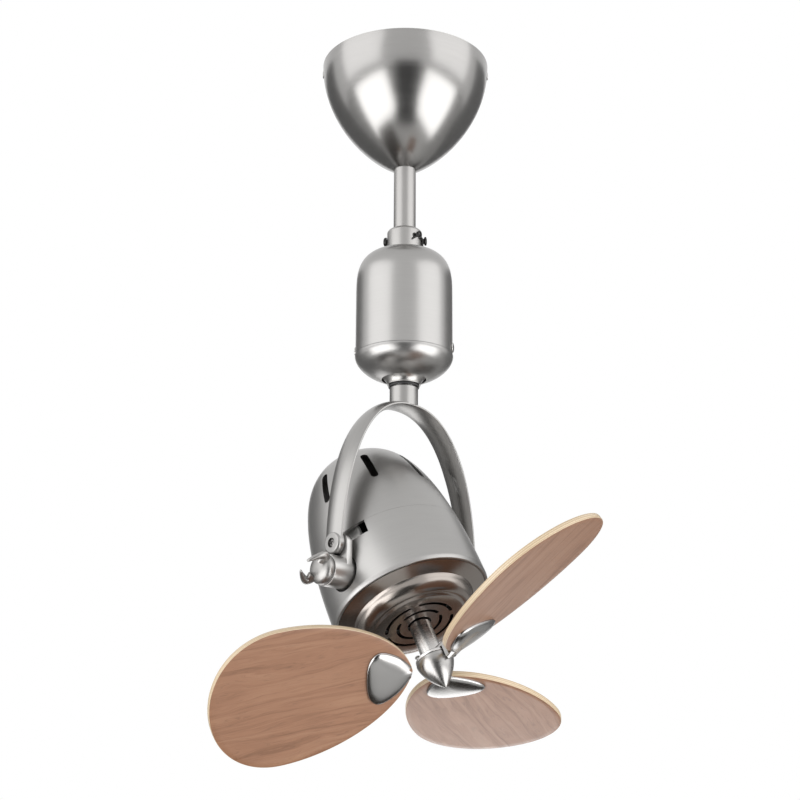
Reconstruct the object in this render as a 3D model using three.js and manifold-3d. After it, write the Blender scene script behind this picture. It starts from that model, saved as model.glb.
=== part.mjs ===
// A ceiling fan with one directional head, in millimetres, +Z up.
// A bell canopy and a short rod carry a capsule housing. A geared spindle in the
// housing turns a U-shaped arm right round, the egg-shaped motor head tilts between
// the arm's two ends, and three wooden paddle blades spin below the head.
// The origin is the middle of the face that meets the ceiling. The tilt pivot lies
// along X, and the head leans towards -Y at rest.

import * as THREE from 'three';
import { mergeVertices } from 'three/addons/utils/BufferGeometryUtils.js';
import ManifoldModule from 'manifold-3d';

// ---- clearances ----
const seat = 0.3;                 // between pieces that touch
const runningGap = 0.5;           // between pieces that turn
const gearBacklash = 0.5;         // taken off the thickness of each gear tooth

// ---- canopy and ceiling bracket ----
const canopyRadius = 80.2;
const canopyHeight = 108.5;
const canopyWall = 1.4;
const canopyRimGap = 0.5;         // below the ceiling face
const canopyWaist = 1.483;        // powers of the canopy's bell curve
const canopyCrown = 1.033;
const canopyScrewDrop = 8;
const canopyScrewRadius = 1.9;
const canopyScrewBearing = 137;   // degrees round from +X
const bracketRadius = 57;
const bracketPlate = 3;
const saddleDrop = 49;
const saddlePlate = 2.6;
const saddleWidth = 38;
const wireWindowLength = 34;
const wireWindowWidth = 26;
const wireWindowOffset = 36;
const mountSlotRadius = 3;
const mountSlotOffset = 44;
const tabWidth = 14;

// ---- rod, ball and coupling ----
const rodRadius = 10.5;
const rodWall = 2.3;
const rodExposed = 59.8;          // between the canopy and the coupling
const rodSocketDepth = 19;        // how far the rod goes into the coupling
const ballRadius = 19;
const ballPinRadius = 3;
const couplingHeight = 25.5;
const couplingRadius = 16.5;
const couplingShoulder = 4.6;
const clevisPinRadius = 2.6;
const clevisPinDrop = 14.8;       // below the coupling's top
const clevisPinReach = 7;         // past the coupling's wall
const clevisPinHead = 4.4;
const clevisBearing = -48;
const clipWire = 0.9;
const clipEye = 3.4;
const grubRadius = 2.4;
const grubDrop = 9.2;
const grubBearing = 262;
const nippleRadius = 9;
const nippleBore = 5.5;

// ---- capsule housing ----
const housingRadius = 45.1;
const housingHeight = 125.5;
const housingWall = 1.5;
const topDomeHeight = 45;
const topDomePower = 3.4;
const baseDomeHeight = 35;
const baseDomePower = 2.5;
const baseOpening = 20.6;
const shellLand = 14;             // flat round the coupling, on the housing's top
const housingSeam = 22;           // seam above the housing's lowest point
const domedScrewAboveSeam = 6.2;
const domedScrewRadius = 5;
const domedScrewBearing = -53;
const chassisPlate = 3;
const chassisBoss = 2.6;
const chassisTopRadius = 25;
const chassisLegWidth = 18;
const chassisLegRadius = 38;
const nutHeight = 6;
const nutRadius = 13.5;

// ---- slow drive that turns the arm ----
const gearModule = 1.5;
const spindleTeeth = 28;
const pinionTeeth = 12;
const gearHeight = 7;
const driveBearing = 37;          // where the gear motor stands, round from +X
const driveMotorRadius = 12;
const driveMotorHeight = 29;
const driveShaftRadius = 2;
const slipRingRadius = 9;
const slipRingHeight = 20.5;
const spindleRadius = 6;
const spindleBore = 3.5;
const spindleCollarRadius = 9.4;
const bearingHeight = 7;
const bearingOuter = 11;
const sleeveRadius = 14.5;
const sleeveFlangeRadius = 33;
const sleeveFlange = 4;
const sleeveDrop = 9.2;           // shown below the housing
const sleeveFloor = 1.4;

// ---- U-shaped arm ----
const armRise = 165.9;            // pivot to the crown's centre line
const armClearance = 10.9;        // from the shell's widest circle to the band's middle
const armPower = 2.29;
const armWidth = 25;
const armCrown = 7;               // thickness in the middle of the band
const armEdge = 2.2;              // thickness at its edges
const neckRadius = 13.1;
const neckHeight = 18;
const neckSocket = 8;
const armGrubRadius = 2;
const armGrubBearing = 46.5;
const footRadius = 12;
const footFaceRadius = 9.2;       // the foot's outer face, inside its rounded edge
const footThickness = 7;
const footRise = 26.4;
const footScrewRadius = 2;
const footScrewHead = 4;
const footScrewRecess = 2.4;

// ---- tilt pivots ----
const barrelRadius = 14.2;
const barrelSink = 5;             // barrel's inner end, inside the shell's widest circle
const barrelLength = 25.5;
const earThickness = 3.5;
const earRise = 32;
const earCorner = 7;
const earPadRadius = 7.5;
const pivotBoltRadius = 4;
const frictionDiscRadius = 16.5;
const frictionDisc = 2;
const wingHubRadius = 13.4;
const wingHubHeight = 11;
const wingReach = 23.2;           // middle of each wing's tip past the barrel
const wingSpread = 16.7;
const wingThickness = 7.8;        // at the wing's root, in its own plane
const wingBreadth = 7;
const wingBore = 9;
const wingTurn = -130;            // where the first wing points, round the pivot
const capNutRadius = 11;
const capNutHeight = 12;

// ---- egg-shaped motor head ----
const headLean = 29.2;            // degrees from straight down, towards -Y
const shellRadius = 72;
const shellTop = 139.1;           // crown above the pivot
const rimTuck = 1.4;              // the rim is drawn in from the widest circle
const widestDrop = 23.7;
const rimDrop = 25.7;
const shellWall = 1.6;
const shellCrownPower = 0.873;    // powers of the egg's curve
const shellSidePower = 0.606;
const seamRise = 34.4;
const lapHeight = 6;
const ventCount = 8;
const ventWidth = 7;
const ventLow = 77;
const ventHigh = 113;
const ventPhase = 6.5;
const windowDrop = 13;            // below the seam
const windowHalfAngle = 30;
const pivotHoleRadius = 18.5;

// ---- motor inside the head ----
const carrierPlate = 3;
const carrierRise = 9;            // top of the ring above the shell's rim
const carrierOpening = 44;
const postThickness = 4;
const postWidth = 50;
const postRise = 47;
const postCorner = 14;
const postBoss = 4;
const postBossRadius = 14;
const statorClearance = 3.1;      // from the core to the heads of the tilt bolts
const statorHeight = 26;
const statorBore = 27;
const windingStep = 7;            // the winding heads stand this much inside the core
const windingHeight = 6;
const endBellThickness = 5;
const endBellHubRadius = 14;
const endBellHubHeight = 9;
const endBellRim = 3;
const endBellCapShoulder = 48;    // where the upper bell's cap starts to close, above the pivot
const endBellCapRise = 34;
const endBellCapWall = 2;
const endBellWireHole = 12;
const motorRotorRadius = 26;
const motorShaftRadius = 4;
const motorBearingRadius = 11;

// ---- bottom cover ----
const coverWall = 1.6;
const coveDepth = 3.6;
const drumRadius = 55.6;
const discRadius = 43.5;
const discDrop = 42.6;
const outerSlotRadius = 30.2;
const outerSlots = 4;
const outerSlotSpan = 72;
const innerSlotRadius = 19.9;
const innerSlots = 3;
const innerSlotSpan = 98;
const slotWidth = 3;
const slotPhase = -3;
const shaftHole = 11;
const coverClearance = 1;         // from the cover's face to the top of the hub

// ---- rotor, spinner and blades ----
const hubShaftRadius = 9.6;
const hubPlateRadius = 16.4;
const hubPlate = 2.8;
const hubDrop = 79.5;             // top of the hub plate below the pivot
const spinnerRadius = 16.8;
const hubGrubDrop = 5;
const spinnerHeight = 28;
const bladeCount = 3;
const bladePhase = 28.6;
const bladePitch = 20.7;
const bladeRoot = 22.3;
const bladeTip = 203;
const bladeWidest = 142;
const bladeHalfWidth = 69.5;
const bladeRootPull = 57;         // how far the edge stays full from its widest place to the root
const bladeTipPull = 36;
const bladeRootLead = 8;
const bladeThickness = 5;
const bladeDrop = 85.9;            // the blades' middle plane below the pivot
const ironRise = 5.2;             // depth of the petal's pillow below the blade
const ironFootDepth = 3.4;
const ironReach = 65.5;
const ironHalfWidth = 27.5;
const ironTongueWidth = 10;
const ironTongue = 3;
const ironNeck = 3.8;
const ironScrewRadius = 1.5;
const clampScrewRadius = 2;
const clampScrewHead = 3.8;
const clampPlate = 2;

// ---- places worked out from the sizes above ----
const canopyBottom = -canopyHeight;
const couplingTop = canopyBottom - rodExposed;
const couplingBottom = couplingTop - couplingHeight;
const housingTop = couplingBottom - seat;
const housingBottom = housingTop - housingHeight;
const sleeveBottom = housingBottom - sleeveDrop;
const neckTop = sleeveBottom - runningGap;
const crownCentre = neckTop - neckHeight;
const pivotHeight = crownCentre - armRise;
const armHalfSpan = shellRadius + armClearance;
const barrelInner = shellRadius - barrelSink;
const barrelOuter = barrelInner + barrelLength;
const rimRadius = shellRadius - rimTuck;

// ---- how many flats stand for a full circle ----
const large = 30;
const middling = 16;
const small = 12;
const tiny = 8;

// ---- shared solid modelling ----
const radians = THREE.MathUtils.degToRad;
const wasm = await ManifoldModule();
wasm.setup();

function tidy(geometry) {
  const bare = geometry.clone();
  bare.deleteAttribute('normal');
  bare.deleteAttribute('uv');
  const merged = mergeVertices(bare, 1e-4);
  const corners = [];
  const index = merged.index.array;
  for (let i = 0; i < index.length; i += 3) {
    const [a, b, c] = [index[i], index[i + 1], index[i + 2]];
    if (a !== b && b !== c && c !== a) {
      corners.push(a, b, c);
    }
  }
  merged.setIndex(corners);
  return merged;
}

function toManifold(geometry) {
  const bare = tidy(geometry);
  return new wasm.Manifold(new wasm.Mesh({
    numProp: 3,
    vertProperties: new Float32Array(bare.attributes.position.array),
    triVerts: new Uint32Array(bare.index.array),
  }));
}

function toGeometry(manifold) {
  const mesh = manifold.getMesh();
  const geometry = new THREE.BufferGeometry();
  geometry.setAttribute('position', new THREE.BufferAttribute(new Float32Array(mesh.vertProperties), 3));
  geometry.setIndex(new THREE.BufferAttribute(new Uint32Array(mesh.triVerts), 1));
  return geometry;
}

function join(first, ...others) {
  return toGeometry(others.reduce((sum, next) => sum.add(toManifold(next)), toManifold(first)));
}

function cut(first, ...others) {
  return toGeometry(others.reduce((sum, next) => sum.subtract(toManifold(next)), toManifold(first)));
}

// A closed profile of [radius, height] pairs turned about Z.
function revolve(profile, segments = middling) {
  let area = 0;
  profile.forEach(([r, z], i) => {
    const [nextR, nextZ] = profile[(i + 1) % profile.length];
    area += r * nextZ - nextR * z;
  });
  const ordered = area > 0 ? profile : [...profile].reverse();
  const startsOnAxis = ordered.findIndex(([r], i) => r < 1e-9 && ordered[(i + 1) % ordered.length][0] > 1e-9);
  let loop;
  if (startsOnAxis >= 0) {
    loop = [...ordered.slice(startsOnAxis), ...ordered.slice(0, startsOnAxis)];
  } else {
    loop = [...ordered, ordered[0]];
  }
  const points = loop.map(([r, z]) => new THREE.Vector2(r, z));
  return new THREE.LatheGeometry(points, segments).rotateX(Math.PI / 2);
}

function cylinder(radius, low, high, segments = small) {
  return revolve([[0, low], [radius, low], [radius, high], [0, high]], segments);
}

function tube(outer, inner, low, high, segments = middling) {
  return revolve([[inner, low], [outer, low], [outer, high], [inner, high]], segments);
}

function box(x, y, z) {
  return new THREE.BoxGeometry(x, y, z);
}

// A flat outline pushed up along Z.
function plate(shape, thickness, low = 0, curveSegments = 12) {
  const options = { depth: thickness, bevelEnabled: false, curveSegments };
  return new THREE.ExtrudeGeometry(shape, options).translate(0, 0, low);
}

// A wire of round section along a curve.
function wire(curve, radius, steps, sides = 8) {
  const section = new THREE.Shape();
  for (let i = 0; i < sides; i += 1) {
    const angle = 2 * Math.PI * i / sides;
    const [x, y] = [radius * Math.cos(angle), radius * Math.sin(angle)];
    if (i === 0) {
      section.moveTo(x, y);
    } else {
      section.lineTo(x, y);
    }
  }
  section.closePath();
  return new THREE.ExtrudeGeometry(section, { steps, extrudePath: curve, bevelEnabled: false });
}

// A skin over a row of equal rings, each a list of Vector3, closed at both ends.
function loft(rings) {
  const sides = rings[0].length;
  const positions = [];
  const corners = [];
  rings.forEach((ring) => ring.forEach((point) => positions.push(point.x, point.y, point.z)));
  for (let k = 0; k < rings.length - 1; k += 1) {
    for (let i = 0; i < sides; i += 1) {
      const a = k * sides + i;
      const b = k * sides + (i + 1) % sides;
      corners.push(a, b, b + sides, a, b + sides, a + sides);
    }
  }
  const last = (rings.length - 1) * sides;
  for (let i = 1; i < sides - 1; i += 1) {
    corners.push(0, i + 1, i);
    corners.push(last, last + i, last + i + 1);
  }
  const geometry = new THREE.BufferGeometry();
  geometry.setAttribute('position', new THREE.Float32BufferAttribute(positions, 3));
  geometry.setIndex(corners);
  return geometry;
}

// Moves a piece modelled along Z so that it points along +X, then turns it to a bearing.
function alongX(geometry) {
  return geometry.rotateY(Math.PI / 2);
}

function toBearing(geometry, degrees) {
  return geometry.rotateZ(radians(degrees));
}

function hexagon(radius, low, high) {
  return cylinder(radius, low, high, 6);
}

// ---- finishes ----
function finish(color, roughness, metalness) {
  return () => new THREE.MeshStandardMaterial({ color, roughness, metalness });
}

const brushedNickel = finish(0xb4b1ab, 0.32, 1);
const polishedNickel = finish(0xc9c6c1, 0.12, 1);
const wood = finish(0xb98d68, 0.55, 0);
const blackSteel = finish(0x1b1b1c, 0.45, 0.6);
const zincSteel = finish(0x9a9c9f, 0.5, 0.9);
const castAluminium = finish(0xa9abad, 0.6, 0.8);
const bearingSteel = finish(0x8f9194, 0.3, 1);
const blackNylon = finish(0x161616, 0.6, 0);
const whiteNylon = finish(0xd9d7d0, 0.55, 0);
const laminations = finish(0x55585c, 0.5, 0.8);

function piece(parent, name, geometry, material) {
  const mesh = new THREE.Mesh(tidy(geometry), material());
  mesh.name = name;
  parent.add(mesh);
  return mesh;
}

// ---- the groups that move ----
const fan = new THREE.Group();
fan.name = 'directional_ceiling_fan';

const orbit = new THREE.Group();
fan.add(orbit);

const head = new THREE.Group();
head.position.z = pivotHeight;
head.rotation.x = -radians(headLean);
orbit.add(head);

const rotor = new THREE.Group();
rotor.rotation.z = radians(bladePhase);
head.add(rotor);

// ---- canopy: a spun bell, open to the ceiling, with a hole for the rod ----
function canopyProfile(radius, height, hole, steps) {
  const profile = [];
  const apex = canopyHeight + 4 - (canopyHeight - height);
  for (let i = 0; i <= steps; i += 1) {
    const turn = Math.PI / 2 * i / steps;
    const r = radius * Math.cos(turn) ** canopyWaist;
    const z = -apex * Math.sin(turn) ** canopyCrown;
    if (r > hole) {
      profile.push([r, Math.min(z, -canopyRimGap)]);
    }
  }
  profile.push([hole, -height]);
  return profile;
}

function makeCanopy() {
  const hole = rodRadius + seat;
  const outside = canopyProfile(canopyRadius, canopyHeight, hole, 9);
  const inside = canopyProfile(canopyRadius - canopyWall, canopyHeight - canopyWall, hole, 6);
  const bell = revolve([...outside, ...inside.reverse()], large);
  const drill = alongX(cylinder(canopyScrewRadius + seat, -canopyRadius - 5, canopyRadius + 5, tiny));
  return cut(bell, toBearing(drill, canopyScrewBearing).translate(0, 0, -canopyScrewDrop));
}

piece(fan, 'canopy', makeCanopy(), brushedNickel);

// ---- ceiling bracket: a stamped plate with tabs for the canopy and a saddle for the ball ----
const tabInner = canopyRadius - canopyWall - 5.5;
const tabThickness = 2.2;
const tabOuter = tabInner + tabThickness;

function makeBracket() {
  const openings = [1, -1].flatMap((side) => {
    const window = box(wireWindowLength, wireWindowWidth, 3 * bracketPlate);
    const slot = new THREE.Shape();
    slot.absarc(-mountSlotRadius, 0, mountSlotRadius, Math.PI / 2, 3 * Math.PI / 2);
    slot.absarc(mountSlotRadius, 0, mountSlotRadius, -Math.PI / 2, Math.PI / 2);
    slot.closePath();
    return [
      window.translate(0, side * wireWindowOffset, 0),
      plate(slot, 3 * bracketPlate, -2 * bracketPlate, 3).translate(side * mountSlotOffset, 0, 0),
    ];
  });
  const legHeight = saddleDrop + saddlePlate - bracketPlate / 2;
  const legSpan = 2 * (ballRadius + 2);
  const pieces = [];
  for (const side of [1, -1]) {
    const leg = box(saddlePlate, saddleWidth, legHeight);
    pieces.push(leg.translate(side * (legSpan + saddlePlate) / 2, 0, -bracketPlate / 2 - legHeight / 2));
    const arm = box(tabOuter - bracketRadius + 8, tabWidth, bracketPlate);
    arm.translate((tabOuter + bracketRadius - 8) / 2, 0, -bracketPlate / 2);
    pieces.push(toBearing(arm, canopyScrewBearing + (side < 0 ? 180 : 0)));
    const tab = box(tabThickness, tabWidth, canopyScrewDrop + 6);
    tab.translate((tabInner + tabOuter) / 2, 0, -(canopyScrewDrop + 6) / 2);
    pieces.push(toBearing(tab, canopyScrewBearing + (side < 0 ? 180 : 0)));
  }
  const saddleLength = legSpan + 2 * saddlePlate;
  pieces.push(box(saddleLength, saddleWidth, saddlePlate).translate(0, 0, -saddleDrop - saddlePlate / 2));
  const mouth = rodRadius + 2.5;
  const throat = cylinder(mouth, -saddleDrop - saddlePlate - 1, -saddleDrop + 1);
  const slotOpen = box(2 * mouth, saddleWidth, saddlePlate + 2);
  slotOpen.translate(0, saddleWidth / 2, -saddleDrop - saddlePlate / 2);
  const drill = alongX(cylinder(canopyScrewRadius + seat, -tabOuter - 5, tabOuter + 5, tiny));
  toBearing(drill, canopyScrewBearing).translate(0, 0, -canopyScrewDrop);
  const disc = cylinder(bracketRadius, -bracketPlate, 0, large);
  return cut(join(disc, ...pieces), throat, slotOpen, drill, ...openings);
}

piece(fan, 'ceiling_bracket', makeBracket(), zincSteel);

// ---- canopy screws: low heads on the rim, threaded into the bracket's tabs ----
function makeCanopyScrew() {
  const share = (canopyScrewDrop / (canopyHeight + 4)) ** (1 / canopyCrown);
  const wall = canopyRadius * Math.cos(Math.asin(share));
  const shank = cylinder(canopyScrewRadius, tabInner - 3, wall + 0.6, tiny);
  const screwHead = cylinder(2 * canopyScrewRadius, wall + seat, wall + 1.7, small);
  return alongX(join(shank, screwHead));
}

for (const [name, side] of [['canopy_screw_1', 0], ['canopy_screw_2', 180]]) {
  const screw = toBearing(makeCanopyScrew(), canopyScrewBearing + side);
  piece(fan, name, screw.translate(0, 0, -canopyScrewDrop), polishedNickel);
}

// ---- hanger ball: rests on the edge of the saddle's hole and carries the rod on a pin ----
const saddleEdge = rodRadius + 2.5;
const ballSink = Math.sqrt((ballRadius + seat) ** 2 - saddleEdge ** 2);
const ballHeight = -saddleDrop + ballSink;
const ballFlat = 9;

function makeBall() {
  const bore = rodRadius + seat;
  const profile = [];
  const top = Math.asin(ballFlat / ballRadius);
  const bottom = -Math.acos(bore / ballRadius);
  for (let i = 0; i <= 7; i += 1) {
    const turn = bottom + (top - bottom) * i / 7;
    profile.push([ballRadius * Math.cos(turn), ballRadius * Math.sin(turn)]);
  }
  profile.push([bore, ballFlat]);
  const drill = cylinder(ballPinRadius + seat, -ballRadius, ballRadius, small).rotateX(Math.PI / 2);
  return cut(revolve(profile, middling), drill).translate(0, 0, ballHeight);
}

piece(fan, 'hanger_ball', makeBall(), blackNylon);

const ballPinHalf = ballRadius - 1.5;
const ballPin = cylinder(ballPinRadius, -ballPinHalf, ballPinHalf, small).rotateX(Math.PI / 2);
piece(fan, 'ball_cross_pin', ballPin.translate(0, 0, ballHeight), zincSteel);

// ---- down rod: a tube drilled for the ball's pin and the coupling's clevis pin ----
const rodTop = ballHeight + ballFlat + 4;
const rodBottom = couplingTop - rodSocketDepth;
const clevisHeight = couplingTop - clevisPinDrop;

function makeRod() {
  const pipe = tube(rodRadius, rodRadius - rodWall, rodBottom, rodTop, middling);
  const ballDrill = cylinder(ballPinRadius + seat, -2 * rodRadius, 2 * rodRadius, small).rotateX(Math.PI / 2);
  ballDrill.translate(0, 0, ballHeight);
  const clevisDrill = alongX(cylinder(clevisPinRadius + seat, -2 * rodRadius, 2 * rodRadius, small));
  toBearing(clevisDrill, clevisBearing).translate(0, 0, clevisHeight);
  return cut(pipe, ballDrill, clevisDrill);
}

piece(fan, 'down_rod', makeRod(), brushedNickel);

// ---- coupling: a turned collar with a rounded shoulder and a nipple into the housing ----
const nippleLength = housingWall + chassisPlate + chassisBoss + nutHeight + 3 * seat;

function makeCoupling() {
  const profile = [[rodRadius + seat, rodBottom - seat], [rodRadius + seat, couplingTop]];
  const shoulderStart = rodRadius + 2;
  for (let i = 0; i <= 3; i += 1) {
    const turn = Math.PI / 2 * i / 3;
    profile.push([
      shoulderStart + (couplingRadius - shoulderStart) * Math.sin(turn),
      couplingTop - couplingShoulder * (1 - Math.cos(turn)),
    ]);
  }
  profile.push([couplingRadius, couplingBottom], [nippleRadius, couplingBottom]);
  profile.push([nippleRadius, couplingBottom - nippleLength], [nippleBore, couplingBottom - nippleLength]);
  profile.push([nippleBore, rodBottom - seat]);
  const pinDrill = alongX(cylinder(clevisPinRadius + seat, -2 * couplingRadius, 2 * couplingRadius, small));
  toBearing(pinDrill, clevisBearing).translate(0, 0, clevisHeight);
  const grubDrill = alongX(cylinder(grubRadius + seat, rodRadius - 1, 2 * couplingRadius, tiny));
  toBearing(grubDrill, grubBearing).translate(0, 0, couplingTop - grubDrop);
  return cut(revolve(profile, middling), pinDrill, grubDrill);
}

piece(fan, 'rod_coupling', makeCoupling(), brushedNickel);

// ---- clevis pin with a domed head and a spring clip through its far end ----
const clipStation = couplingRadius + clevisPinReach - 2.4;

function makeClevisPin() {
  const headStart = -couplingRadius - seat;
  const profile = [[0, headStart - 3], [clevisPinHead * 0.7, headStart - 2.6], [clevisPinHead, headStart - 1]];
  profile.push([clevisPinHead, headStart], [clevisPinRadius, headStart]);
  profile.push([clevisPinRadius, couplingRadius + clevisPinReach - 0.6]);
  const pinEnd = couplingRadius + clevisPinReach;
  profile.push([clevisPinRadius - 0.6, pinEnd], [0, pinEnd]);
  const pin = alongX(revolve(profile, small));
  const eye = cylinder(clipWire + seat, -2 * clevisPinRadius, 2 * clevisPinRadius, tiny);
  return toBearing(cut(pin, eye.translate(clipStation, 0, 0)), clevisBearing).translate(0, 0, clevisHeight);
}

piece(fan, 'clevis_pin', makeClevisPin(), blackSteel);

function makeClip() {
  const gripHeight = clevisPinRadius + clipWire + seat;
  const points = [
    [0, -gripHeight - 4.5], [0, -3], [0, 3], [0, gripHeight + 2.5],
    [clipEye * 0.7, gripHeight + 2.5 + clipEye * 0.4], [clipEye, gripHeight + 2.5 + clipEye * 1.3],
    [clipEye * 0.2, gripHeight + 2.5 + clipEye * 2.1], [-clipEye * 0.9, gripHeight + 2.5 + clipEye * 1.4],
    [-clipEye * 1.2, gripHeight + 1], [-clevisPinRadius - clipWire - seat, 0], [-clipEye * 1.3, -gripHeight],
  ].map(([side, up]) => new THREE.Vector3(clipStation, side, up));
  const curve = new THREE.CatmullRomCurve3(points);
  return toBearing(wire(curve, clipWire, 26, 6), clevisBearing).translate(0, 0, clevisHeight);
}

piece(fan, 'clevis_clip', makeClip(), blackSteel);

const grub = alongX(cylinder(grubRadius, rodRadius + seat, couplingRadius + 0.8, tiny));
piece(fan, 'coupling_grub_screw', toBearing(grub, grubBearing).translate(0, 0, couplingTop - grubDrop),
  blackSteel);

// ---- capsule housing: a deep-drawn shell over a bowl with a round opening ----
const seamHeight = housingBottom + housingSeam;

function capsuleRadius(z, offset) {
  const outer = housingRadius - offset;
  const topStart = housingTop - topDomeHeight;
  const baseStart = housingBottom - 1.8 + baseDomeHeight;
  if (z > topStart) {
    const t = Math.min((z - topStart) / (topDomeHeight - offset), 1);
    return outer * (1 - t ** topDomePower) ** (1 / topDomePower);
  }
  if (z < baseStart) {
    const t = Math.min((baseStart - z) / (baseDomeHeight - offset), 1);
    return outer * (1 - t ** baseDomePower) ** (1 / baseDomePower);
  }
  return outer;
}

function makeHousingShell() {
  const hole = nippleRadius + seat;
  const outside = [[housingRadius, seamHeight + seat / 2]];
  const inside = [[housingRadius - housingWall, seamHeight + seat / 2]];
  const domeStart = housingTop - topDomeHeight;
  for (const [line, offset, steps] of [[outside, 0, 8], [inside, housingWall, 5]]) {
    for (let i = 0; i <= steps; i += 1) {
      const z = domeStart + (topDomeHeight - offset) * Math.sin(Math.PI / 2 * i / steps);
      line.push([Math.max(capsuleRadius(z, offset), shellLand), z]);
    }
    line.push([hole, housingTop - offset]);
  }
  const shell = revolve([...outside, ...inside.reverse()], large);
  const drill = alongX(cylinder(2 + seat, -housingRadius - 5, housingRadius + 5, tiny));
  return cut(shell, toBearing(drill, domedScrewBearing).translate(0, 0, seamHeight + domedScrewAboveSeam));
}

piece(fan, 'housing_shell', makeHousingShell(), brushedNickel);

function makeHousingBase() {
  const outside = [];
  const inside = [];
  const low = housingBottom;
  for (const [line, offset, steps] of [[outside, 0, 7], [inside, housingWall, 5]]) {
    for (let i = 0; i <= steps; i += 1) {
      const z = offset + seamHeight + (low - seamHeight) * Math.sin(Math.PI / 2 * i / steps);
      line.push([Math.max(capsuleRadius(z, offset), baseOpening), z]);
    }
  }
  outside[outside.length - 1] = [baseOpening, low];
  inside[inside.length - 1] = [baseOpening, low + housingWall];
  const lipOuter = housingRadius - housingWall - seat;
  const lipTop = seamHeight + 2 * domedScrewAboveSeam;
  const lip = [[lipOuter, lipTop], [lipOuter - 2, lipTop], [lipOuter - 2, seamHeight - 2]];
  const innerWall = inside.filter(([r]) => r < lipOuter - 2);
  const bowl = revolve([...lip, ...innerWall, ...outside.reverse(), [lipOuter, seamHeight - seat / 2]], large);
  const drill = alongX(cylinder(2 + seat, -housingRadius, housingRadius, tiny));
  return cut(bowl, toBearing(drill, domedScrewBearing).translate(0, 0, seamHeight + domedScrewAboveSeam));
}

piece(fan, 'housing_base', makeHousingBase(), brushedNickel);

function makeDomedScrew() {
  const start = housingRadius + seat;
  const profile = [[0, start - 8], [2, start - 8], [2, start], [domedScrewRadius, start]];
  for (let i = 0; i <= 4; i += 1) {
    const turn = Math.PI / 2 * i / 4;
    profile.push([domedScrewRadius * Math.cos(turn), start + 0.4 + 1.9 * Math.sin(turn)]);
  }
  return alongX(revolve(profile, small));
}

for (const [name, side] of [['housing_screw_1', 0], ['housing_screw_2', 180]]) {
  const screw = toBearing(makeDomedScrew(), domedScrewBearing + side);
  piece(fan, name, screw.translate(0, 0, seamHeight + domedScrewAboveSeam), polishedNickel);
}

// ---- chassis: hangs from the coupling's nut and carries the drive and the bearing sleeve ----
const chassisTop = housingTop - housingWall - seat;
const nutTop = chassisTop - chassisBoss - chassisPlate - seat;
const slipRingTop = nutTop - nutHeight - seat;
const spindleTop = slipRingTop - slipRingHeight - runningGap;
const gearTop = spindleTop - 8;
const driveTop = gearTop - gearHeight - 4.5;
const chassisFloor = driveTop - driveMotorHeight - seat;
const flangeTop = chassisFloor - chassisPlate - seat;
const shaftSpacing = gearModule * (spindleTeeth + pinionTeeth) / 2;

function makeChassis() {
  const plateTop = chassisTop - chassisBoss;
  const topPlate = join(
    cylinder(chassisTopRadius, plateTop - chassisPlate, plateTop, middling),
    cylinder(shellLand - 1, plateTop - 1, chassisTop, middling),
  );
  const floor = cylinder(chassisLegRadius, chassisFloor - chassisPlate, chassisFloor, middling);
  const height = plateTop - chassisFloor + chassisPlate;
  const legs = [];
  for (const side of [1, -1]) {
    const leg = box(2.5, chassisLegWidth, height - 13.5);
    leg.translate(side * (chassisLegRadius - 3), 0, chassisFloor - chassisPlate + (height - 13.5) / 2);
    const slant = loft([0, 1].map((end) => {
      const reach = end ? chassisLegRadius - 1.75 : chassisTopRadius - 3;
      const z = end ? plateTop - 15 : plateTop - chassisPlate / 2;
      const half = chassisLegWidth / 2;
      return [[-half, -1.4], [half, -1.4], [half, 1.4], [-half, 1.4]].map(
        ([y, lift]) => new THREE.Vector3(side * (reach - lift), side * -y, z - lift));
    }));
    legs.push(leg, slant);
  }
  const frame = join(topPlate, floor, ...legs.map((leg) => toBearing(leg, domedScrewBearing)));
  const nippleHole = cylinder(nippleRadius + seat, nutTop, chassisTop + 1, middling);
  const shaftHoleCut = cylinder(spindleCollarRadius + 1.5, chassisFloor - chassisPlate - 1, chassisFloor + 1);
  return cut(frame, nippleHole, shaftHoleCut);
}

piece(fan, 'chassis_frame', makeChassis(), zincSteel);
piece(fan, 'coupling_nut', cut(
  hexagon(nutRadius, nutTop - nutHeight, nutTop),
  cylinder(nippleRadius + seat, nutTop - nutHeight - 1, nutTop + 1, middling),
), zincSteel);

// ---- slip ring: carries the current from the still housing to the turning spindle ----
const slipRing = revolve([
  [0, slipRingTop - slipRingHeight], [slipRingRadius - 2, slipRingTop - slipRingHeight],
  [slipRingRadius - 2, slipRingTop - 7], [slipRingRadius, slipRingTop - 7],
  [slipRingRadius, slipRingTop - 3], [slipRingRadius + 3.5, slipRingTop - 3],
  [slipRingRadius + 3.5, slipRingTop], [0, slipRingTop],
], middling);
piece(fan, 'slip_ring', slipRing, whiteNylon);

// ---- bearing sleeve: bolted under the chassis floor, its polished end shows below the housing ----
const upperBearingTop = flangeTop - 6;
const lowerBearingBottom = sleeveBottom + sleeveFloor + seat;
const bearingBore = bearingOuter + seat;

piece(fan, 'bearing_sleeve', revolve([
  [bearingBore, flangeTop], [sleeveFlangeRadius, flangeTop],
  [sleeveFlangeRadius, flangeTop - sleeveFlange], [sleeveRadius, flangeTop - sleeveFlange],
  [sleeveRadius, sleeveBottom], [spindleRadius + runningGap, sleeveBottom],
  [spindleRadius + runningGap, sleeveBottom + sleeveFloor], [bearingBore, sleeveBottom + sleeveFloor],
], middling), polishedNickel);

function bearing(outer, inner, low, height) {
  const chamfer = 0.5;
  return revolve([
    [inner, low], [outer - chamfer, low], [outer, low + chamfer],
    [outer, low + height - chamfer], [outer - chamfer, low + height], [inner, low + height],
  ], middling);
}

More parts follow.
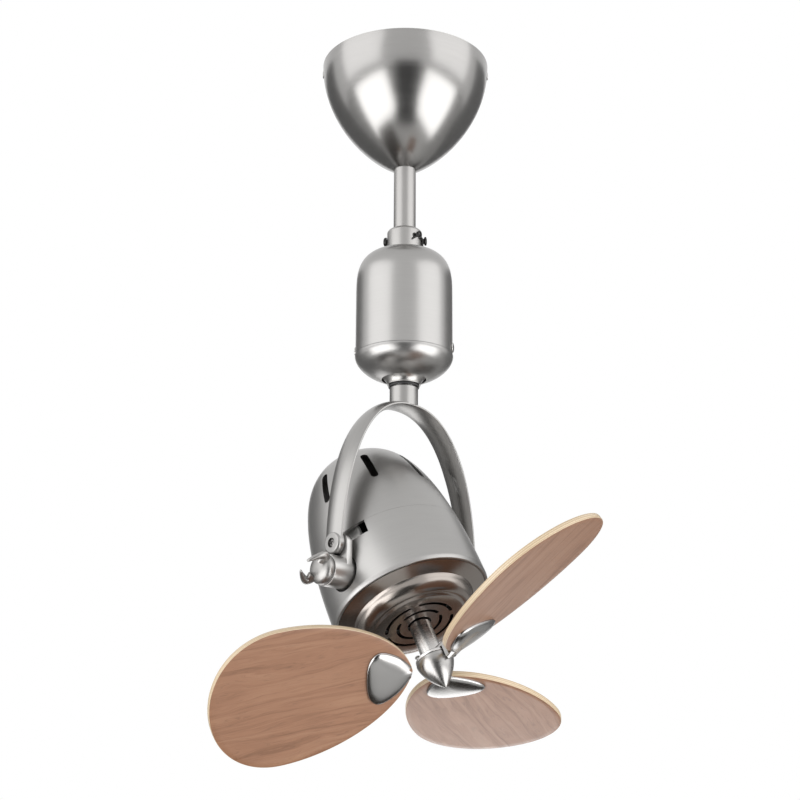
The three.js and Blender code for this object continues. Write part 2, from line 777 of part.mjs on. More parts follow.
const spindleFit = spindleRadius + seat;
piece(fan, 'spindle_bearing_upper', bearing(bearingOuter, spindleFit, upperBearingTop - bearingHeight, bearingHeight),
  bearingSteel);
piece(fan, 'spindle_bearing_lower', bearing(bearingOuter, spindleFit, lowerBearingBottom, bearingHeight),
  bearingSteel);

// ---- gear motor: stands on the chassis floor, its pinion meshes with the spindle's gear ----
const driveX = shaftSpacing * Math.cos(radians(driveBearing));
const driveY = shaftSpacing * Math.sin(radians(driveBearing));
const driveMotor = revolve([
  [0, chassisFloor + seat], [driveMotorRadius, chassisFloor + seat],
  [driveMotorRadius, driveTop - 9], [driveMotorRadius - 1.5, driveTop - 9],
  [driveMotorRadius - 1.5, driveTop - 1], [driveMotorRadius - 2.5, driveTop],
  [driveShaftRadius, driveTop], [driveShaftRadius, gearTop + 1], [0, gearTop + 1],
], middling);
piece(fan, 'orbit_gear_motor', driveMotor.translate(driveX, driveY, 0), castAluminium);

// An involute spur gear with a round bore. The first tooth points along +X.
function gearShape(teeth, bore) {
  const pressure = radians(20);
  const pitchRadius = gearModule * teeth / 2;
  const base = pitchRadius * Math.cos(pressure);
  const tip = pitchRadius + 0.9 * gearModule;
  const root = pitchRadius - 1.2 * gearModule;
  const involute = (angle) => Math.tan(angle) - angle;
  const halfTooth = Math.PI / (2 * teeth) - gearBacklash / (2 * pitchRadius);
  const flankStart = Math.max(root, base);
  const flank = [0, 1].map((t) => {
    const r = flankStart + (tip - flankStart) * t;
    const pressureHere = Math.acos(Math.min(base / r, 1));
    return [r, halfTooth + involute(pressure) - involute(pressureHere)];
  });
  const side = flankStart > root ? [[root, flank[0][1]], ...flank] : flank;
  const shape = new THREE.Shape();
  for (let k = 0; k < teeth; k += 1) {
    const middle = 2 * Math.PI * k / teeth;
    const rising = side.map(([r, a]) => [r, middle - a]);
    const falling = [...side].reverse().map(([r, a]) => [r, middle + a]);
    const tooth = [...rising, ...falling];
    tooth.forEach(([r, angle], i) => {
      const [x, y] = [r * Math.cos(angle), r * Math.sin(angle)];
      if (k === 0 && i === 0) {
        shape.moveTo(x, y);
      } else {
        shape.lineTo(x, y);
      }
    });
  }
  shape.closePath();
  shape.holes.push(new THREE.Path().absarc(0, 0, bore, 0, 2 * Math.PI, true));
  return shape;
}

const pinion = plate(gearShape(pinionTeeth, driveShaftRadius + seat), gearHeight, gearTop - gearHeight, 6);
pinion.rotateZ(radians(driveBearing + 180) + Math.PI / pinionTeeth);
piece(fan, 'drive_pinion', pinion.translate(driveX, driveY, 0), whiteNylon);

// ---- spindle: hollow for the wires, collared above its upper bearing ----
const spindleBottom = neckTop - neckSocket;
piece(orbit, 'spindle', revolve([
  [spindleBore, spindleBottom], [spindleRadius, spindleBottom],
  [spindleRadius, upperBearingTop + seat], [spindleCollarRadius, upperBearingTop + seat],
  [spindleCollarRadius, upperBearingTop + 4], [spindleRadius, upperBearingTop + 4],
  [spindleRadius, gearTop - gearHeight - seat], [spindleRadius, spindleTop], [spindleBore, spindleTop],
], middling), zincSteel);

const spindleGear = plate(gearShape(spindleTeeth, spindleFit), gearHeight, gearTop - gearHeight, 6);
piece(orbit, 'spindle_gear', spindleGear.rotateZ(radians(driveBearing)), whiteNylon);

// ---- arm: one flat oval bar bent to a deep U, with a neck above and a round foot at each end ----
function armSection(centre, outward) {
  const half = armWidth / 2;
  const section = [];
  const steps = 3;
  for (const face of [1, -1]) {
    for (let i = 0; i <= steps; i += 1) {
      const across = -face * half * Math.cos(Math.PI * i / steps);
      const thickness = armEdge + (armCrown - armEdge) * Math.sin(Math.PI * i / steps);
      section.push(centre.clone().addScaledVector(outward, face * thickness / 2).setY(across));
    }
  }
  return section;
}

function footProfile(inner, outer) {
  const profile = [[0, inner], [footRadius, inner]];
  const roundStart = inner + 0.4 * footThickness;
  for (let i = 0; i <= 3; i += 1) {
    const turn = Math.PI / 2 * i / 3;
    profile.push([
      footFaceRadius + (footRadius - footFaceRadius) * Math.cos(turn),
      roundStart + (outer - roundStart) * Math.sin(turn),
    ]);
  }
  profile.push([0, outer]);
  return profile;
}

function makeArm() {
  const rings = [];
  const footAngle = Math.asin((footRise / armRise) ** (armPower / 2));
  const steps = 24;
  const pointAt = (turn) => {
    const x = armHalfSpan * Math.sign(Math.cos(turn)) * Math.abs(Math.cos(turn)) ** (2 / armPower);
    return new THREE.Vector3(x, 0, armRise * Math.sin(turn) ** (2 / armPower));
  };
  for (let i = 0; i <= steps; i += 1) {
    const turn = footAngle + (Math.PI - 2 * footAngle) * i / steps;
    const ahead = pointAt(Math.min(turn + 0.01, Math.PI - 1e-6)).sub(pointAt(Math.max(turn - 0.01, 1e-6)));
    const outward = new THREE.Vector3(ahead.z, 0, -ahead.x).normalize();
    rings.push(armSection(pointAt(turn), outward));
  }
  const band = loft(rings);
  const footX = pointAt(footAngle).x;
  const extras = [cylinder(neckRadius, armRise - 1, armRise + neckHeight, middling)];
  const cuts = [cylinder(spindleFit, armRise + neckHeight - neckSocket - seat, armRise + neckHeight + 1)];
  const neckGrubHole = cylinder(armGrubRadius + seat, spindleRadius, neckRadius + 1, tiny);
  const grubHeight = armRise + neckHeight - neckSocket / 2;
  cuts.push(toBearing(alongX(neckGrubHole), armGrubBearing).translate(0, 0, grubHeight));
  for (const side of [1, -1]) {
    const footFace = footX + footThickness / 2;
    const disc = revolve(footProfile(footFace - footThickness, footFace), middling);
    extras.push(alongX(disc).rotateZ(side > 0 ? 0 : Math.PI).translate(0, 0, footRise));
    const recess = cylinder(footScrewHead + seat, footFace - footScrewRecess, footX + 9, small);
    const hole = cylinder(footScrewRadius + seat, footX - 9, footX + 9, tiny);
    for (const drill of [recess, hole]) {
      cuts.push(alongX(drill).rotateZ(side > 0 ? 0 : Math.PI).translate(0, 0, footRise));
    }
  }
  return cut(join(band, ...extras), ...cuts).translate(0, 0, pivotHeight);
}

piece(orbit, 'u_arm', makeArm(), brushedNickel);
const armGrub = alongX(cylinder(armGrubRadius, spindleRadius + seat, neckRadius - 1, tiny));
piece(orbit, 'arm_grub_screw', toBearing(armGrub, armGrubBearing).translate(0, 0, neckTop - neckSocket / 2),
  blackSteel);

// ---- pivot brackets: a barrel for the tilt bolt, with an ear screwed behind the arm's foot ----
const footMiddle = armHalfSpan * Math.sqrt(1 - (footRise / armRise) ** armPower) ** (2 / armPower);
const footInner = footMiddle - footThickness / 2;
const footOuter = footMiddle + footThickness / 2;
const earInner = shellRadius + 1;
const earOuter = earInner + earThickness;

function makePivotBracket() {
  const barrel = alongX(cylinder(barrelRadius, barrelInner, barrelOuter, middling));
  const ear = new THREE.Shape();
  ear.moveTo(0, -barrelRadius + 0.5);
  ear.lineTo(earRise - earCorner, -barrelRadius + 0.5);
  ear.absarc(earRise - earCorner, -barrelRadius + 0.5 + earCorner, earCorner, -Math.PI / 2, 0);
  ear.absarc(earRise - earCorner, barrelRadius - 0.5 - earCorner, earCorner, 0, Math.PI / 2);
  ear.lineTo(0, barrelRadius - 0.5);
  ear.closePath();
  const earPlate = plate(ear, earThickness, earInner, 6).rotateY(Math.PI / 2);
  earPlate.rotateX(Math.PI);
  const pad = alongX(cylinder(earPadRadius, earInner + 1, footInner - 2 * seat, small));
  pad.translate(0, 0, footRise);
  const screwHole = alongX(cylinder(footScrewRadius + seat, earInner - 1, footInner + 1, tiny));
  const boltHole = alongX(cylinder(pivotBoltRadius + seat, barrelInner - 1, barrelOuter + 1, small));
  return cut(join(barrel, earPlate, pad), screwHole.translate(0, 0, footRise), boltHole);
}

function makeFootScrew() {
  const top = footOuter - footScrewRecess + 2;
  const shank = cylinder(footScrewRadius, earInner + seat, top - 0.5, tiny);
  const screwHead = cylinder(footScrewHead, footOuter - footScrewRecess + seat, top, small);
  const driver = hexagon(1.6, top - 1.1, top + 1);
  return alongX(cut(join(shank, screwHead), driver)).translate(0, 0, footRise);
}

// ---- friction discs, tilt bolts and nuts ----
const bossFace = barrelInner - seat - frictionDisc - seat;
const postFace = bossFace - postBoss;
const boltHeadHeight = 4;
const boltHeadTop = postFace - postThickness - seat;

function makeFrictionDisc() {
  const washer = tube(frictionDiscRadius, pivotBoltRadius + seat, bossFace + seat, barrelInner - seat, middling);
  return alongX(washer);
}

function makePivotBolt(length) {
  const boltHead = hexagon(6.5, boltHeadTop - boltHeadHeight, boltHeadTop);
  const shank = cylinder(pivotBoltRadius, boltHeadTop - 1, barrelOuter + length, small);
  return alongX(join(boltHead, shank));
}

const sides = [['right', 0], ['left', Math.PI]];
for (const [side, turn] of sides) {
  const atPivot = (made) => made.rotateZ(turn).translate(0, 0, pivotHeight);
  piece(orbit, `pivot_bracket_${side}`, atPivot(makePivotBracket()), brushedNickel);
  piece(orbit, `foot_screw_${side}`, atPivot(makeFootScrew()), blackSteel);
  piece(orbit, `friction_disc_${side}`, atPivot(makeFrictionDisc()), blackNylon);
}

piece(head, 'pivot_bolt_right', makePivotBolt(capNutHeight - 4), zincSteel);
piece(head, 'pivot_bolt_left', makePivotBolt(wingBore).rotateZ(Math.PI), zincSteel);

const capNutProfile = [[0, barrelOuter + seat], [capNutRadius, barrelOuter + seat]];
for (let i = 0; i <= 5; i += 1) {
  const turn = Math.PI / 2 * i / 5;
  capNutProfile.push([capNutRadius * Math.cos(turn), barrelOuter + 4 + (capNutHeight - 4) * Math.sin(turn)]);
}
const capNut = cut(
  revolve(capNutProfile, small),
  cylinder(pivotBoltRadius + seat, barrelOuter, barrelOuter + capNutHeight - 4 + seat, small),
);
piece(head, 'pivot_cap_nut', alongX(capNut), polishedNickel);

// ---- wing nut: a domed hub with two tusk-shaped wings that curve in again at their tips ----
function makeWing() {
  const start = barrelOuter + seat;
  const path = new THREE.CatmullRomCurve3([
    [0.19, 0.55], [0.22, 0.84], [0.32, 1], [0.47, 0.95], [0.65, 0.77], [0.86, 0.52], [1, 0.3],
  ].map(([reach, spread]) => new THREE.Vector3(start + reach * wingReach, 0, spread * wingSpread)));
  const steps = 9;
  const sides = 10;
  const rings = [];
  for (let k = 0; k <= steps; k += 1) {
    const t = k / steps;
    const along = path.getTangent(t);
    const outward = new THREE.Vector3(-along.z, 0, along.x);
    const taper = 1 - 0.8 * t ** 0.75;
    rings.push(Array.from({ length: sides }, (_, i) => {
      const turn = -2 * Math.PI * i / sides;
      const centre = path.getPoint(t).addScaledVector(outward, wingThickness / 2 * taper * Math.cos(turn));
      return centre.setY(wingBreadth / 2 * taper * Math.sin(turn));
    }));
  }
  return loft(rings);
}

function makeWingNut() {
  const start = barrelOuter + seat;
  const hub = revolve([
    [0, start], [wingHubRadius, start], [wingHubRadius, start + 4],
    [wingHubRadius * 0.93, start + wingHubHeight * 0.6], [wingHubRadius * 0.7, start + wingHubHeight * 0.92],
    [wingHubRadius * 0.4, start + wingHubHeight], [0, start + wingHubHeight],
  ], middling);
  const bore = cylinder(pivotBoltRadius + seat, start - 1, start + wingBore + seat, small);
  const wings = [makeWing(), makeWing().rotateX(Math.PI)];
  const nut = cut(join(alongX(hub), ...wings), alongX(bore));
  return nut.rotateZ(Math.PI).rotateX(radians(wingTurn));
}

piece(head, 'wing_nut', makeWingNut(), polishedNickel);

// ---- egg-shaped shells: a vented dome over a skirt with pivot holes and windows ----
function shellPoint(turn, offset) {
  const height = seamlessTop - offset;
  return [
    (shellRadius - offset) * Math.cos(turn) ** shellSidePower,
    -widestDrop + height * Math.sin(turn) ** shellCrownPower,
  ];
}

const seamlessTop = shellTop + widestDrop;

function shellTurnAt(height, offset) {
  return Math.asin(((height + widestDrop) / (seamlessTop - offset)) ** (1 / shellCrownPower));
}

function shellArc(low, high, offset, steps) {
  const start = shellTurnAt(low, offset);
  const end = high === null ? Math.PI / 2 : shellTurnAt(high, offset);
  const arc = [];
  for (let i = 0; i <= steps; i += 1) {
    const turn = start + (end - start) * i / steps;
    const [r, z] = shellPoint(turn, offset);
    arc.push([i === steps && high === null ? 0 : r, z]);
  }
  return arc;
}

function makeUpperShell() {
  const low = seamRise + seat;
  const outside = shellArc(low, null, 0, 9);
  const inside = shellArc(seamRise + lapHeight, null, shellWall, 5);
  const lapOuter = shellArc(seamRise - lapHeight, seamRise, shellWall + seat, 1);
  const lapInner = shellArc(seamRise - lapHeight, seamRise, 2 * shellWall, 1);
  const shoulder = shellArc(low, low + 1, shellWall + seat, 1)[0];
  const profile = [...outside, ...inside.reverse(), ...lapInner.reverse(), ...lapOuter, shoulder];
  const dome = revolve(profile, large);
  const slots = [];
  const ventMiddle = (ventLow + ventHigh) / 2;
  const ventReach = shellRadius + 5;
  for (let k = 0; k < ventCount; k += 1) {
    const outline = new THREE.Shape();
    const half = (ventHigh - ventLow) / 2 - ventWidth / 2;
    outline.absarc(half, 0, ventWidth / 2, -Math.PI / 2, Math.PI / 2);
    outline.absarc(-half, 0, ventWidth / 2, Math.PI / 2, 3 * Math.PI / 2);
    outline.closePath();
    const slot = plate(outline, ventReach - 20, 20, 2).rotateY(Math.PI / 2);
    slot.translate(0, 0, ventMiddle);
    slots.push(toBearing(slot, ventPhase + 360 * k / ventCount));
  }
  return cut(dome, ...slots);
}

piece(head, 'head_shell_upper', makeUpperShell(), brushedNickel);

function makeLowerShell() {
  const high = seamRise;
  const outside = [[rimRadius, -rimDrop], ...shellArc(-widestDrop + 0.001, high, 0, 3)];
  const inside = [[rimRadius - shellWall, -rimDrop], ...shellArc(-widestDrop + 0.001, high, shellWall, 2)];
  const skirt = revolve([...outside, ...inside.reverse()], large);
  const cuts = [];
  for (const turn of [0, Math.PI]) {
    const hole = cylinder(pivotHoleRadius, shellRadius - 20, shellRadius + 5, middling);
    cuts.push(alongX(hole).rotateZ(turn));
    const wedge = new THREE.Shape();
    wedge.moveTo(20, -20 * Math.tan(radians(windowHalfAngle)));
    wedge.lineTo(2 * shellRadius, -2 * shellRadius * Math.tan(radians(windowHalfAngle)));
    wedge.lineTo(2 * shellRadius, 2 * shellRadius * Math.tan(radians(windowHalfAngle)));
    wedge.lineTo(20, 20 * Math.tan(radians(windowHalfAngle)));
    wedge.closePath();
    cuts.push(plate(wedge, windowDrop + 5, seamRise - windowDrop).rotateZ(turn));
  }
  return cut(skirt, ...cuts);
}

piece(head, 'head_shell_lower', makeLowerShell(), brushedNickel);

// ---- carrier: a ring that holds shells and motor, with a post to each pivot ----
const carrierTop = -rimDrop + carrierRise;
const carrierRadius = rimRadius - shellWall - seat;
const statorTop = carrierTop + endBellThickness + seat + statorHeight + seat;
const statorBottom = statorTop - statorHeight;

function makePost() {
  const outline = new THREE.Shape();
  const half = postWidth / 2;
  outline.moveTo(carrierTop - 1, -half);
  outline.absarc(postRise - postCorner, postCorner - half, postCorner, -Math.PI / 2, 0);
  outline.absarc(postRise - postCorner, half - postCorner, postCorner, 0, Math.PI / 2);
  outline.lineTo(carrierTop - 1, half);
  outline.closePath();
  const upright = plate(outline, postThickness, -postFace, 4).rotateY(-Math.PI / 2);
  const boss = alongX(cylinder(postBossRadius, postFace - 1, bossFace, middling));
  const bolt = alongX(cylinder(pivotBoltRadius + seat, postFace - postThickness - 1, bossFace + 1, small));
  return cut(join(upright, boss), bolt);
}

function makeCarrier() {
  const ring = tube(carrierRadius, carrierOpening, carrierTop - carrierPlate, carrierTop, large);
  return join(ring, makePost(), makePost().rotateZ(Math.PI));
}

piece(head, 'motor_carrier', makeCarrier(), castAluminium);

// ---- motor: laminated stator between two cast end bells, on ball bearings ----
const statorRadius = boltHeadTop - boltHeadHeight - statorClearance;
const windingRadius = statorRadius - windingStep;

function makeStator() {
  const core = tube(statorRadius, statorBore, statorBottom, statorTop, middling);
  const rearWinding = tube(windingRadius, statorBore + 2, statorTop - 1, statorTop + windingHeight, middling);
  const frontWinding = tube(windingRadius - 6, statorBore + 2, statorBottom - 3, statorBottom + 1, middling);
  return join(core, rearWinding, frontWinding);
}

piece(head, 'motor_stator', makeStator(), laminations);

const lowerBellTop = statorBottom - seat;
const lowerBellBottom = carrierTop + seat;
const upperBellBottom = statorTop + seat;
const upperBellTop = upperBellBottom + endBellRim + windingHeight + endBellThickness;
const bearingPocket = motorBearingRadius + seat;

piece(head, 'motor_end_bell_lower', revolve([
  [motorShaftRadius + 1.5, lowerBellBottom - endBellHubHeight],
  [endBellHubRadius, lowerBellBottom - endBellHubHeight], [endBellHubRadius, lowerBellBottom],
  [statorRadius + 1.5, lowerBellBottom], [statorRadius + 1.5, lowerBellTop],
  [windingRadius - 6 + 1.5, lowerBellTop], [windingRadius - 6 + 1.5, lowerBellTop - 3.4],
  [bearingPocket, lowerBellTop - 3.4], [bearingPocket, lowerBellBottom - endBellHubHeight + 2],
  [motorShaftRadius + 1.5, lowerBellBottom - endBellHubHeight + 2],
], middling), castAluminium);

// The cap over the upper bell covers the capacitor and leads, which leave by its top.
function bellCapLine(offset) {
  const line = [];
  const radius = statorRadius + 1.5 - offset;
  const lastTurn = Math.acos((endBellWireHole / radius) ** 1.5);
  for (let i = 0; i <= 5; i += 1) {
    const turn = lastTurn * i / 5;
    const z = endBellCapShoulder + (endBellCapRise - offset) * Math.sin(turn);
    line.push([radius * Math.cos(turn) ** (2 / 3), z]);
  }
  return line;
}

piece(head, 'motor_end_bell_upper', revolve([
  [statorRadius + 1.5, upperBellBottom], ...bellCapLine(0), ...bellCapLine(endBellCapWall).reverse(),
  [statorRadius + 1.5 - endBellCapWall, upperBellTop], [endBellHubRadius, upperBellTop],
  [endBellHubRadius, upperBellTop + 5], [motorShaftRadius + 1.5, upperBellTop + 5],
  [motorShaftRadius + 1.5, upperBellTop + 3], [bearingPocket, upperBellTop + 3],
  [bearingPocket, upperBellTop - endBellThickness], [windingRadius + 1.5, upperBellTop - endBellThickness],
  [windingRadius + 1.5, upperBellBottom],
], middling), castAluminium);

const motorBearingHeight = 7;
const shaftFit = motorShaftRadius + seat;
const lowerMotorBearing = lowerBellBottom - endBellHubHeight + 2 + seat;
const upperMotorBearing = upperBellTop + 3 - seat - motorBearingHeight;
for (const [place, low] of [['lower', lowerMotorBearing], ['upper', upperMotorBearing]]) {
  piece(head, `motor_bearing_${place}`, bearing(motorBearingRadius, shaftFit, low, motorBearingHeight), bearingSteel);
}

// ---- bottom cover: a pressed pan with a rounded drum and two rings of vent slots ----
function coverProfile(offset) {
  const edge = rimRadius - shellWall - seat;
  const profile = [[edge - offset, carrierTop - carrierPlate - seat]];
  profile.push([edge - offset, -rimDrop - 0.6 + offset], [edge - 2, -rimDrop - 1.4 + offset]);
  profile.push([drumRadius + 1.5, -rimDrop - coveDepth + offset]);
  const curve = drumRadius - discRadius;
  const drumTop = -discDrop + curve;
  for (let i = 0; i <= 4; i += 1) {
    const turn = Math.PI / 2 * i / 4;
    const r = discRadius + (curve - offset) * Math.cos(turn);
    profile.push([r, Math.min(drumTop, -rimDrop - coveDepth) - (drumHeight - offset) * Math.sin(turn)]);
  }
  profile.push([shaftHole, -discDrop + offset]);
  return profile;
}

const drumHeight = discDrop + Math.min(-discDrop + drumRadius - discRadius, -rimDrop - coveDepth);

function makeCover() {
  const outside = coverProfile(0);
  const inside = coverProfile(coverWall);
  const pan = revolve([...outside, ...inside.reverse()], large);
  const rings = [
    [outerSlots, outerSlotRadius, outerSlotSpan],
    [innerSlots, innerSlotRadius, innerSlotSpan],
  ];
  const slots = [];
  for (const [count, radius, span] of rings) {
    for (let k = 0; k < count; k += 1) {
      const middle = slotPhase + 360 * k / count;
      const start = radians(middle - span / 2);
      const end = radians(middle + span / 2);
      const outline = new THREE.Shape();
      outline.absarc(0, 0, radius + slotWidth / 2, start, end, false);
      outline.absarc(0, 0, radius - slotWidth / 2, end, start, true);
      outline.closePath();
      slots.push(plate(outline, coverWall + 4, -discDrop - 2, 3));
    }
  }
  return cut(pan, ...slots);
}

piece(head, 'bottom_cover', makeCover(), polishedNickel);

// ---- rotor: motor core on its shaft, hub with a grub screw, and a pointed spinner ----
const rotorMiddle = (statorTop + statorBottom) / 2;
const coreHalf = statorHeight / 2 - 1;
const rotorCore = tube(motorRotorRadius, shaftFit, rotorMiddle - coreHalf, rotorMiddle + coreHalf, middling);
piece(rotor, 'motor_rotor', rotorCore, laminations);

const hubTop = -discDrop - coverClearance;
const hubPlateBottom = -hubDrop - hubPlate;
piece(rotor, 'motor_shaft', cylinder(motorShaftRadius, hubPlateBottom + 6, upperBellTop + 12), bearingSteel);

const bladeAngles = Array.from({ length: bladeCount }, (_, k) => 360 * k / bladeCount);
const tongueScrewAt = (hubShaftRadius + hubPlateRadius) / 2 + 0.4;

function makeHub() {
  const turned = revolve([
    [0, hubPlateBottom], [hubPlateRadius, hubPlateBottom], [hubPlateRadius, -hubDrop],
    [hubShaftRadius, -hubDrop], [hubShaftRadius, hubTop - 1], [hubShaftRadius - 1, hubTop], [0, hubTop],
  ], middling);
  const bore = cylinder(shaftFit, hubPlateBottom + 6 - seat, hubTop + 1, small);
  const grubHole = alongX(cylinder(grubRadius + seat, motorShaftRadius, hubShaftRadius + 1, tiny));
  toBearing(grubHole, 180 / bladeCount).translate(0, 0, hubTop - hubGrubDrop);
  const taps = bladeAngles.map((angle) => {
    const tap = cylinder(ironScrewRadius, hubPlateBottom - 1, 1 - hubDrop, tiny);
    return toBearing(tap.translate(tongueScrewAt, 0, 0), angle);
  });
  return cut(turned, bore, grubHole, ...taps);
}

piece(rotor, 'rotor_hub', makeHub(), polishedNickel);
const hubGrub = alongX(cylinder(grubRadius, motorShaftRadius + seat, hubShaftRadius - 0.8, tiny));
piece(rotor, 'hub_grub_screw', toBearing(hubGrub, 180 / bladeCount).translate(0, 0, hubTop - hubGrubDrop),
  blackSteel);

const spinnerProfile = [[0, hubPlateBottom - seat], [spinnerRadius, hubPlateBottom - seat]];
for (let i = 1; i <= 9; i += 1) {
  const t = Math.sin(Math.PI / 2 * i / 9);
  const r = spinnerRadius * Math.max(1 - t ** 1.7, 0) ** 0.85;
  spinnerProfile.push([r, hubPlateBottom - seat - spinnerHeight * t]);
}
piece(rotor, 'spinner', revolve(spinnerProfile, middling), polishedNickel);

// ---- blades: plywood paddles, each clamped between a petal-shaped iron and a screw plate ----
function bladeShape() {
  const shape = new THREE.Shape();
  shape.moveTo(bladeRoot, 0);
  const swell = bladeHalfWidth;
  const fullFrom = bladeWidest - bladeRootPull;
  const fullTo = bladeWidest + bladeTipPull;
  const leadIn = bladeRoot + bladeRootLead;
  shape.bezierCurveTo(leadIn, -0.55 * swell, fullFrom, -swell, bladeWidest, -swell);
  shape.bezierCurveTo(fullTo, -swell, bladeTip, -0.55 * swell, bladeTip, 0);
  shape.bezierCurveTo(bladeTip, 0.55 * swell, fullTo, swell, bladeWidest, swell);
  shape.bezierCurveTo(fullFrom, swell, leadIn, 0.55 * swell, bladeRoot, 0);
  return shape;
}

const clampScrews = [[ironReach - 12, 0.55 * ironHalfWidth], [ironReach - 12, -0.55 * ironHalfWidth],
  [ironReach - 27, 0]];

function petalShape() {
  const shape = new THREE.Shape();
  const half = ironHalfWidth;
  const end = ironReach;
  shape.moveTo(bladeRoot - 1, 0);
  shape.quadraticCurveTo(bladeRoot + 8, -0.66 * half, end - 16, -half + 1);
  shape.quadraticCurveTo(end - 5, -half - 1, end - 2, -half + 9);
  shape.quadraticCurveTo(end + 1, 0, end - 2, half - 9);
  shape.quadraticCurveTo(end - 5, half + 1, end - 16, half - 1);
  shape.quadraticCurveTo(bladeRoot + 8, 0.66 * half, bladeRoot - 1, 0);
  return shape;
}

// A pillow on the petal's outline: flat above, against the blade, and domed below.
function makePetal() {
  const outline = petalShape().getPoints(4).slice(1);
  const centreX = (bladeRoot + ironReach) / 2;
  const levels = [0.03, 0.45, 0.72, 0.9, 1].map((share) => [share, (1 - share ** 2.6) ** 0.45]);
  levels.push([0.03, 0]);
  return loft(levels.map(([share, depth]) => outline.map(({ x, y }) => (
    new THREE.Vector3(centreX + (x - centreX) * share, y * share, ironTop - ironRise * depth)
  ))));
}

function screwHoles(low, high, radius) {
  return clampScrews.map(([x, y]) => cylinder(radius, low, high, tiny).translate(x, y, 0));
}

function makeBlade() {
  const half = bladeThickness / 2;
  const paddle = plate(bladeShape(), bladeThickness, -half, 10);
  return cut(paddle, ...screwHoles(-half - 1, half + 1, clampScrewRadius + seat));
}

const ironTop = -bladeThickness / 2 - seat;
const tongueLow = bladeDrop - hubDrop + seat;
const neckIn = spinnerRadius + 2 * seat;

// The petal lies under the pitched blade. Its neck stands upright beside the spinner
// and ends in a tongue that is screwed down on the hub's plate.
function makeIron() {
  const holes = screwHoles(ironTop - 1.8, ironTop + 1, clampScrewRadius + seat);
  const foot = box(bladeRoot + 6 - neckIn, ironTongueWidth, ironFootDepth);
  foot.translate((bladeRoot + 6 + neckIn) / 2, 0, ironTop - ironFootDepth / 2);
  const petal = cut(join(makePetal(), foot), ...holes).rotateX(radians(bladePitch));
  const tongueReach = neckIn + ironNeck - hubShaftRadius - 2 * seat;
  const tongue = box(tongueReach, ironTongueWidth, ironTongue);
  tongue.translate(neckIn + ironNeck - tongueReach / 2, 0, tongueLow + ironTongue / 2);
  const neckFoot = ironTop - ironFootDepth / 2;
  const neck = box(ironNeck, ironTongueWidth, tongueLow + ironTongue - neckFoot);
  neck.translate(neckIn + ironNeck / 2, 0, (tongueLow + ironTongue + neckFoot) / 2);
  const screwHole = cylinder(ironScrewRadius + seat, tongueLow - 1, tongueLow + ironTongue + 1, tiny);
  return cut(join(petal, neck, tongue), screwHole.translate(tongueScrewAt, 0, 0));
}

function makeClampTop() {
  const low = bladeThickness / 2 + seat;
  const outline = new THREE.Shape();
  outline.moveTo(ironReach - 33, 0);
  outline.lineTo(ironReach - 10, -0.55 * ironHalfWidth - 5);
  outline.lineTo(ironReach - 6, -0.55 * ironHalfWidth);
  outline.lineTo(ironReach - 6, 0.55 * ironHalfWidth);
  outline.lineTo(ironReach - 10, 0.55 * ironHalfWidth + 5);
  outline.closePath();
  const spider = plate(outline, clampPlate, low);
  const screws = clampScrews.flatMap(([x, y]) => [
    cylinder(clampScrewRadius, ironTop - 1.5, low + 1, tiny).translate(x, y, 0),
    cylinder(clampScrewHead, low + clampPlate - 0.2, low + clampPlate + 1.8, tiny).translate(x, y, 0),
  ]);
  return join(spider, ...screws);
}

bladeAngles.forEach((angle, k) => {
  const station = new THREE.Group();
  station.rotation.z = radians(angle);
  station.position.z = -bladeDrop;
  const pitched = new THREE.Group();
  pitched.rotation.x = radians(bladePitch);
  station.add(pitched);
  rotor.add(station);
  piece(pitched, `blade_${k + 1}`, makeBlade(), wood);
  piece(station, `blade_iron_${k + 1}`, makeIron(), polishedNickel);
  piece(pitched, `blade_screw_plate_${k + 1}`, makeClampTop(), zincSteel);
});

export default fan;
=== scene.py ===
from math import acos, asin, copysign, cos, pi, radians, sin

import bpy
from mathutils import Matrix, Vector


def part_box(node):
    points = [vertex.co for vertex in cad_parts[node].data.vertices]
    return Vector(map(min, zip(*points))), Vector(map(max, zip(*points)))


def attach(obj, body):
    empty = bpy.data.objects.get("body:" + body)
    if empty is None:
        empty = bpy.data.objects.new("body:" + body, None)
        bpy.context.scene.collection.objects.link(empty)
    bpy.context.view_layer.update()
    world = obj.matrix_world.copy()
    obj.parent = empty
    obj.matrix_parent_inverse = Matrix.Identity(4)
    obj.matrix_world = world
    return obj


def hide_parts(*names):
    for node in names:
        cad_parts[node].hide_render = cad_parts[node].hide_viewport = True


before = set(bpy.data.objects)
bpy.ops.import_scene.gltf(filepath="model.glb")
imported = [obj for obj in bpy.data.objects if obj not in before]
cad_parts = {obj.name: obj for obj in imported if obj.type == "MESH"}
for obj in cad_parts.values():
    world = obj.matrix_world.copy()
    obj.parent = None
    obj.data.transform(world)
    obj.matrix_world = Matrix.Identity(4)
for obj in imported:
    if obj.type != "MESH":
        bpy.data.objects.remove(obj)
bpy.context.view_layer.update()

# ---- Camera ----
# It looks up at the fan from a little below and to the left of the head, through
# a long lens, as the photograph does.
scene = bpy.context.scene


def placed(name, data, place=Matrix.Identity(4)):
    made = bpy.data.objects.new(name, data)
    scene.collection.objects.link(made)
    made.matrix_world = place
    return made


camera_right = Vector((0.72427, -0.68950, 0.00529))
camera_up = Vector((-0.21163, -0.21499, 0.95341))
camera_back = Vector((-0.65624, -0.69164, -0.30163))
camera_turn = Matrix((camera_right, camera_up, camera_back)).transposed().to_4x4()
camera = placed("camera", bpy.data.cameras.new("camera"),
                Matrix.Translation((-1.07041, -1.12309, -0.83106)) @ camera_turn)
camera.data.sensor_width = 36
camera.data.lens = 79.557
camera.data.clip_end = 40
scene.camera = camera

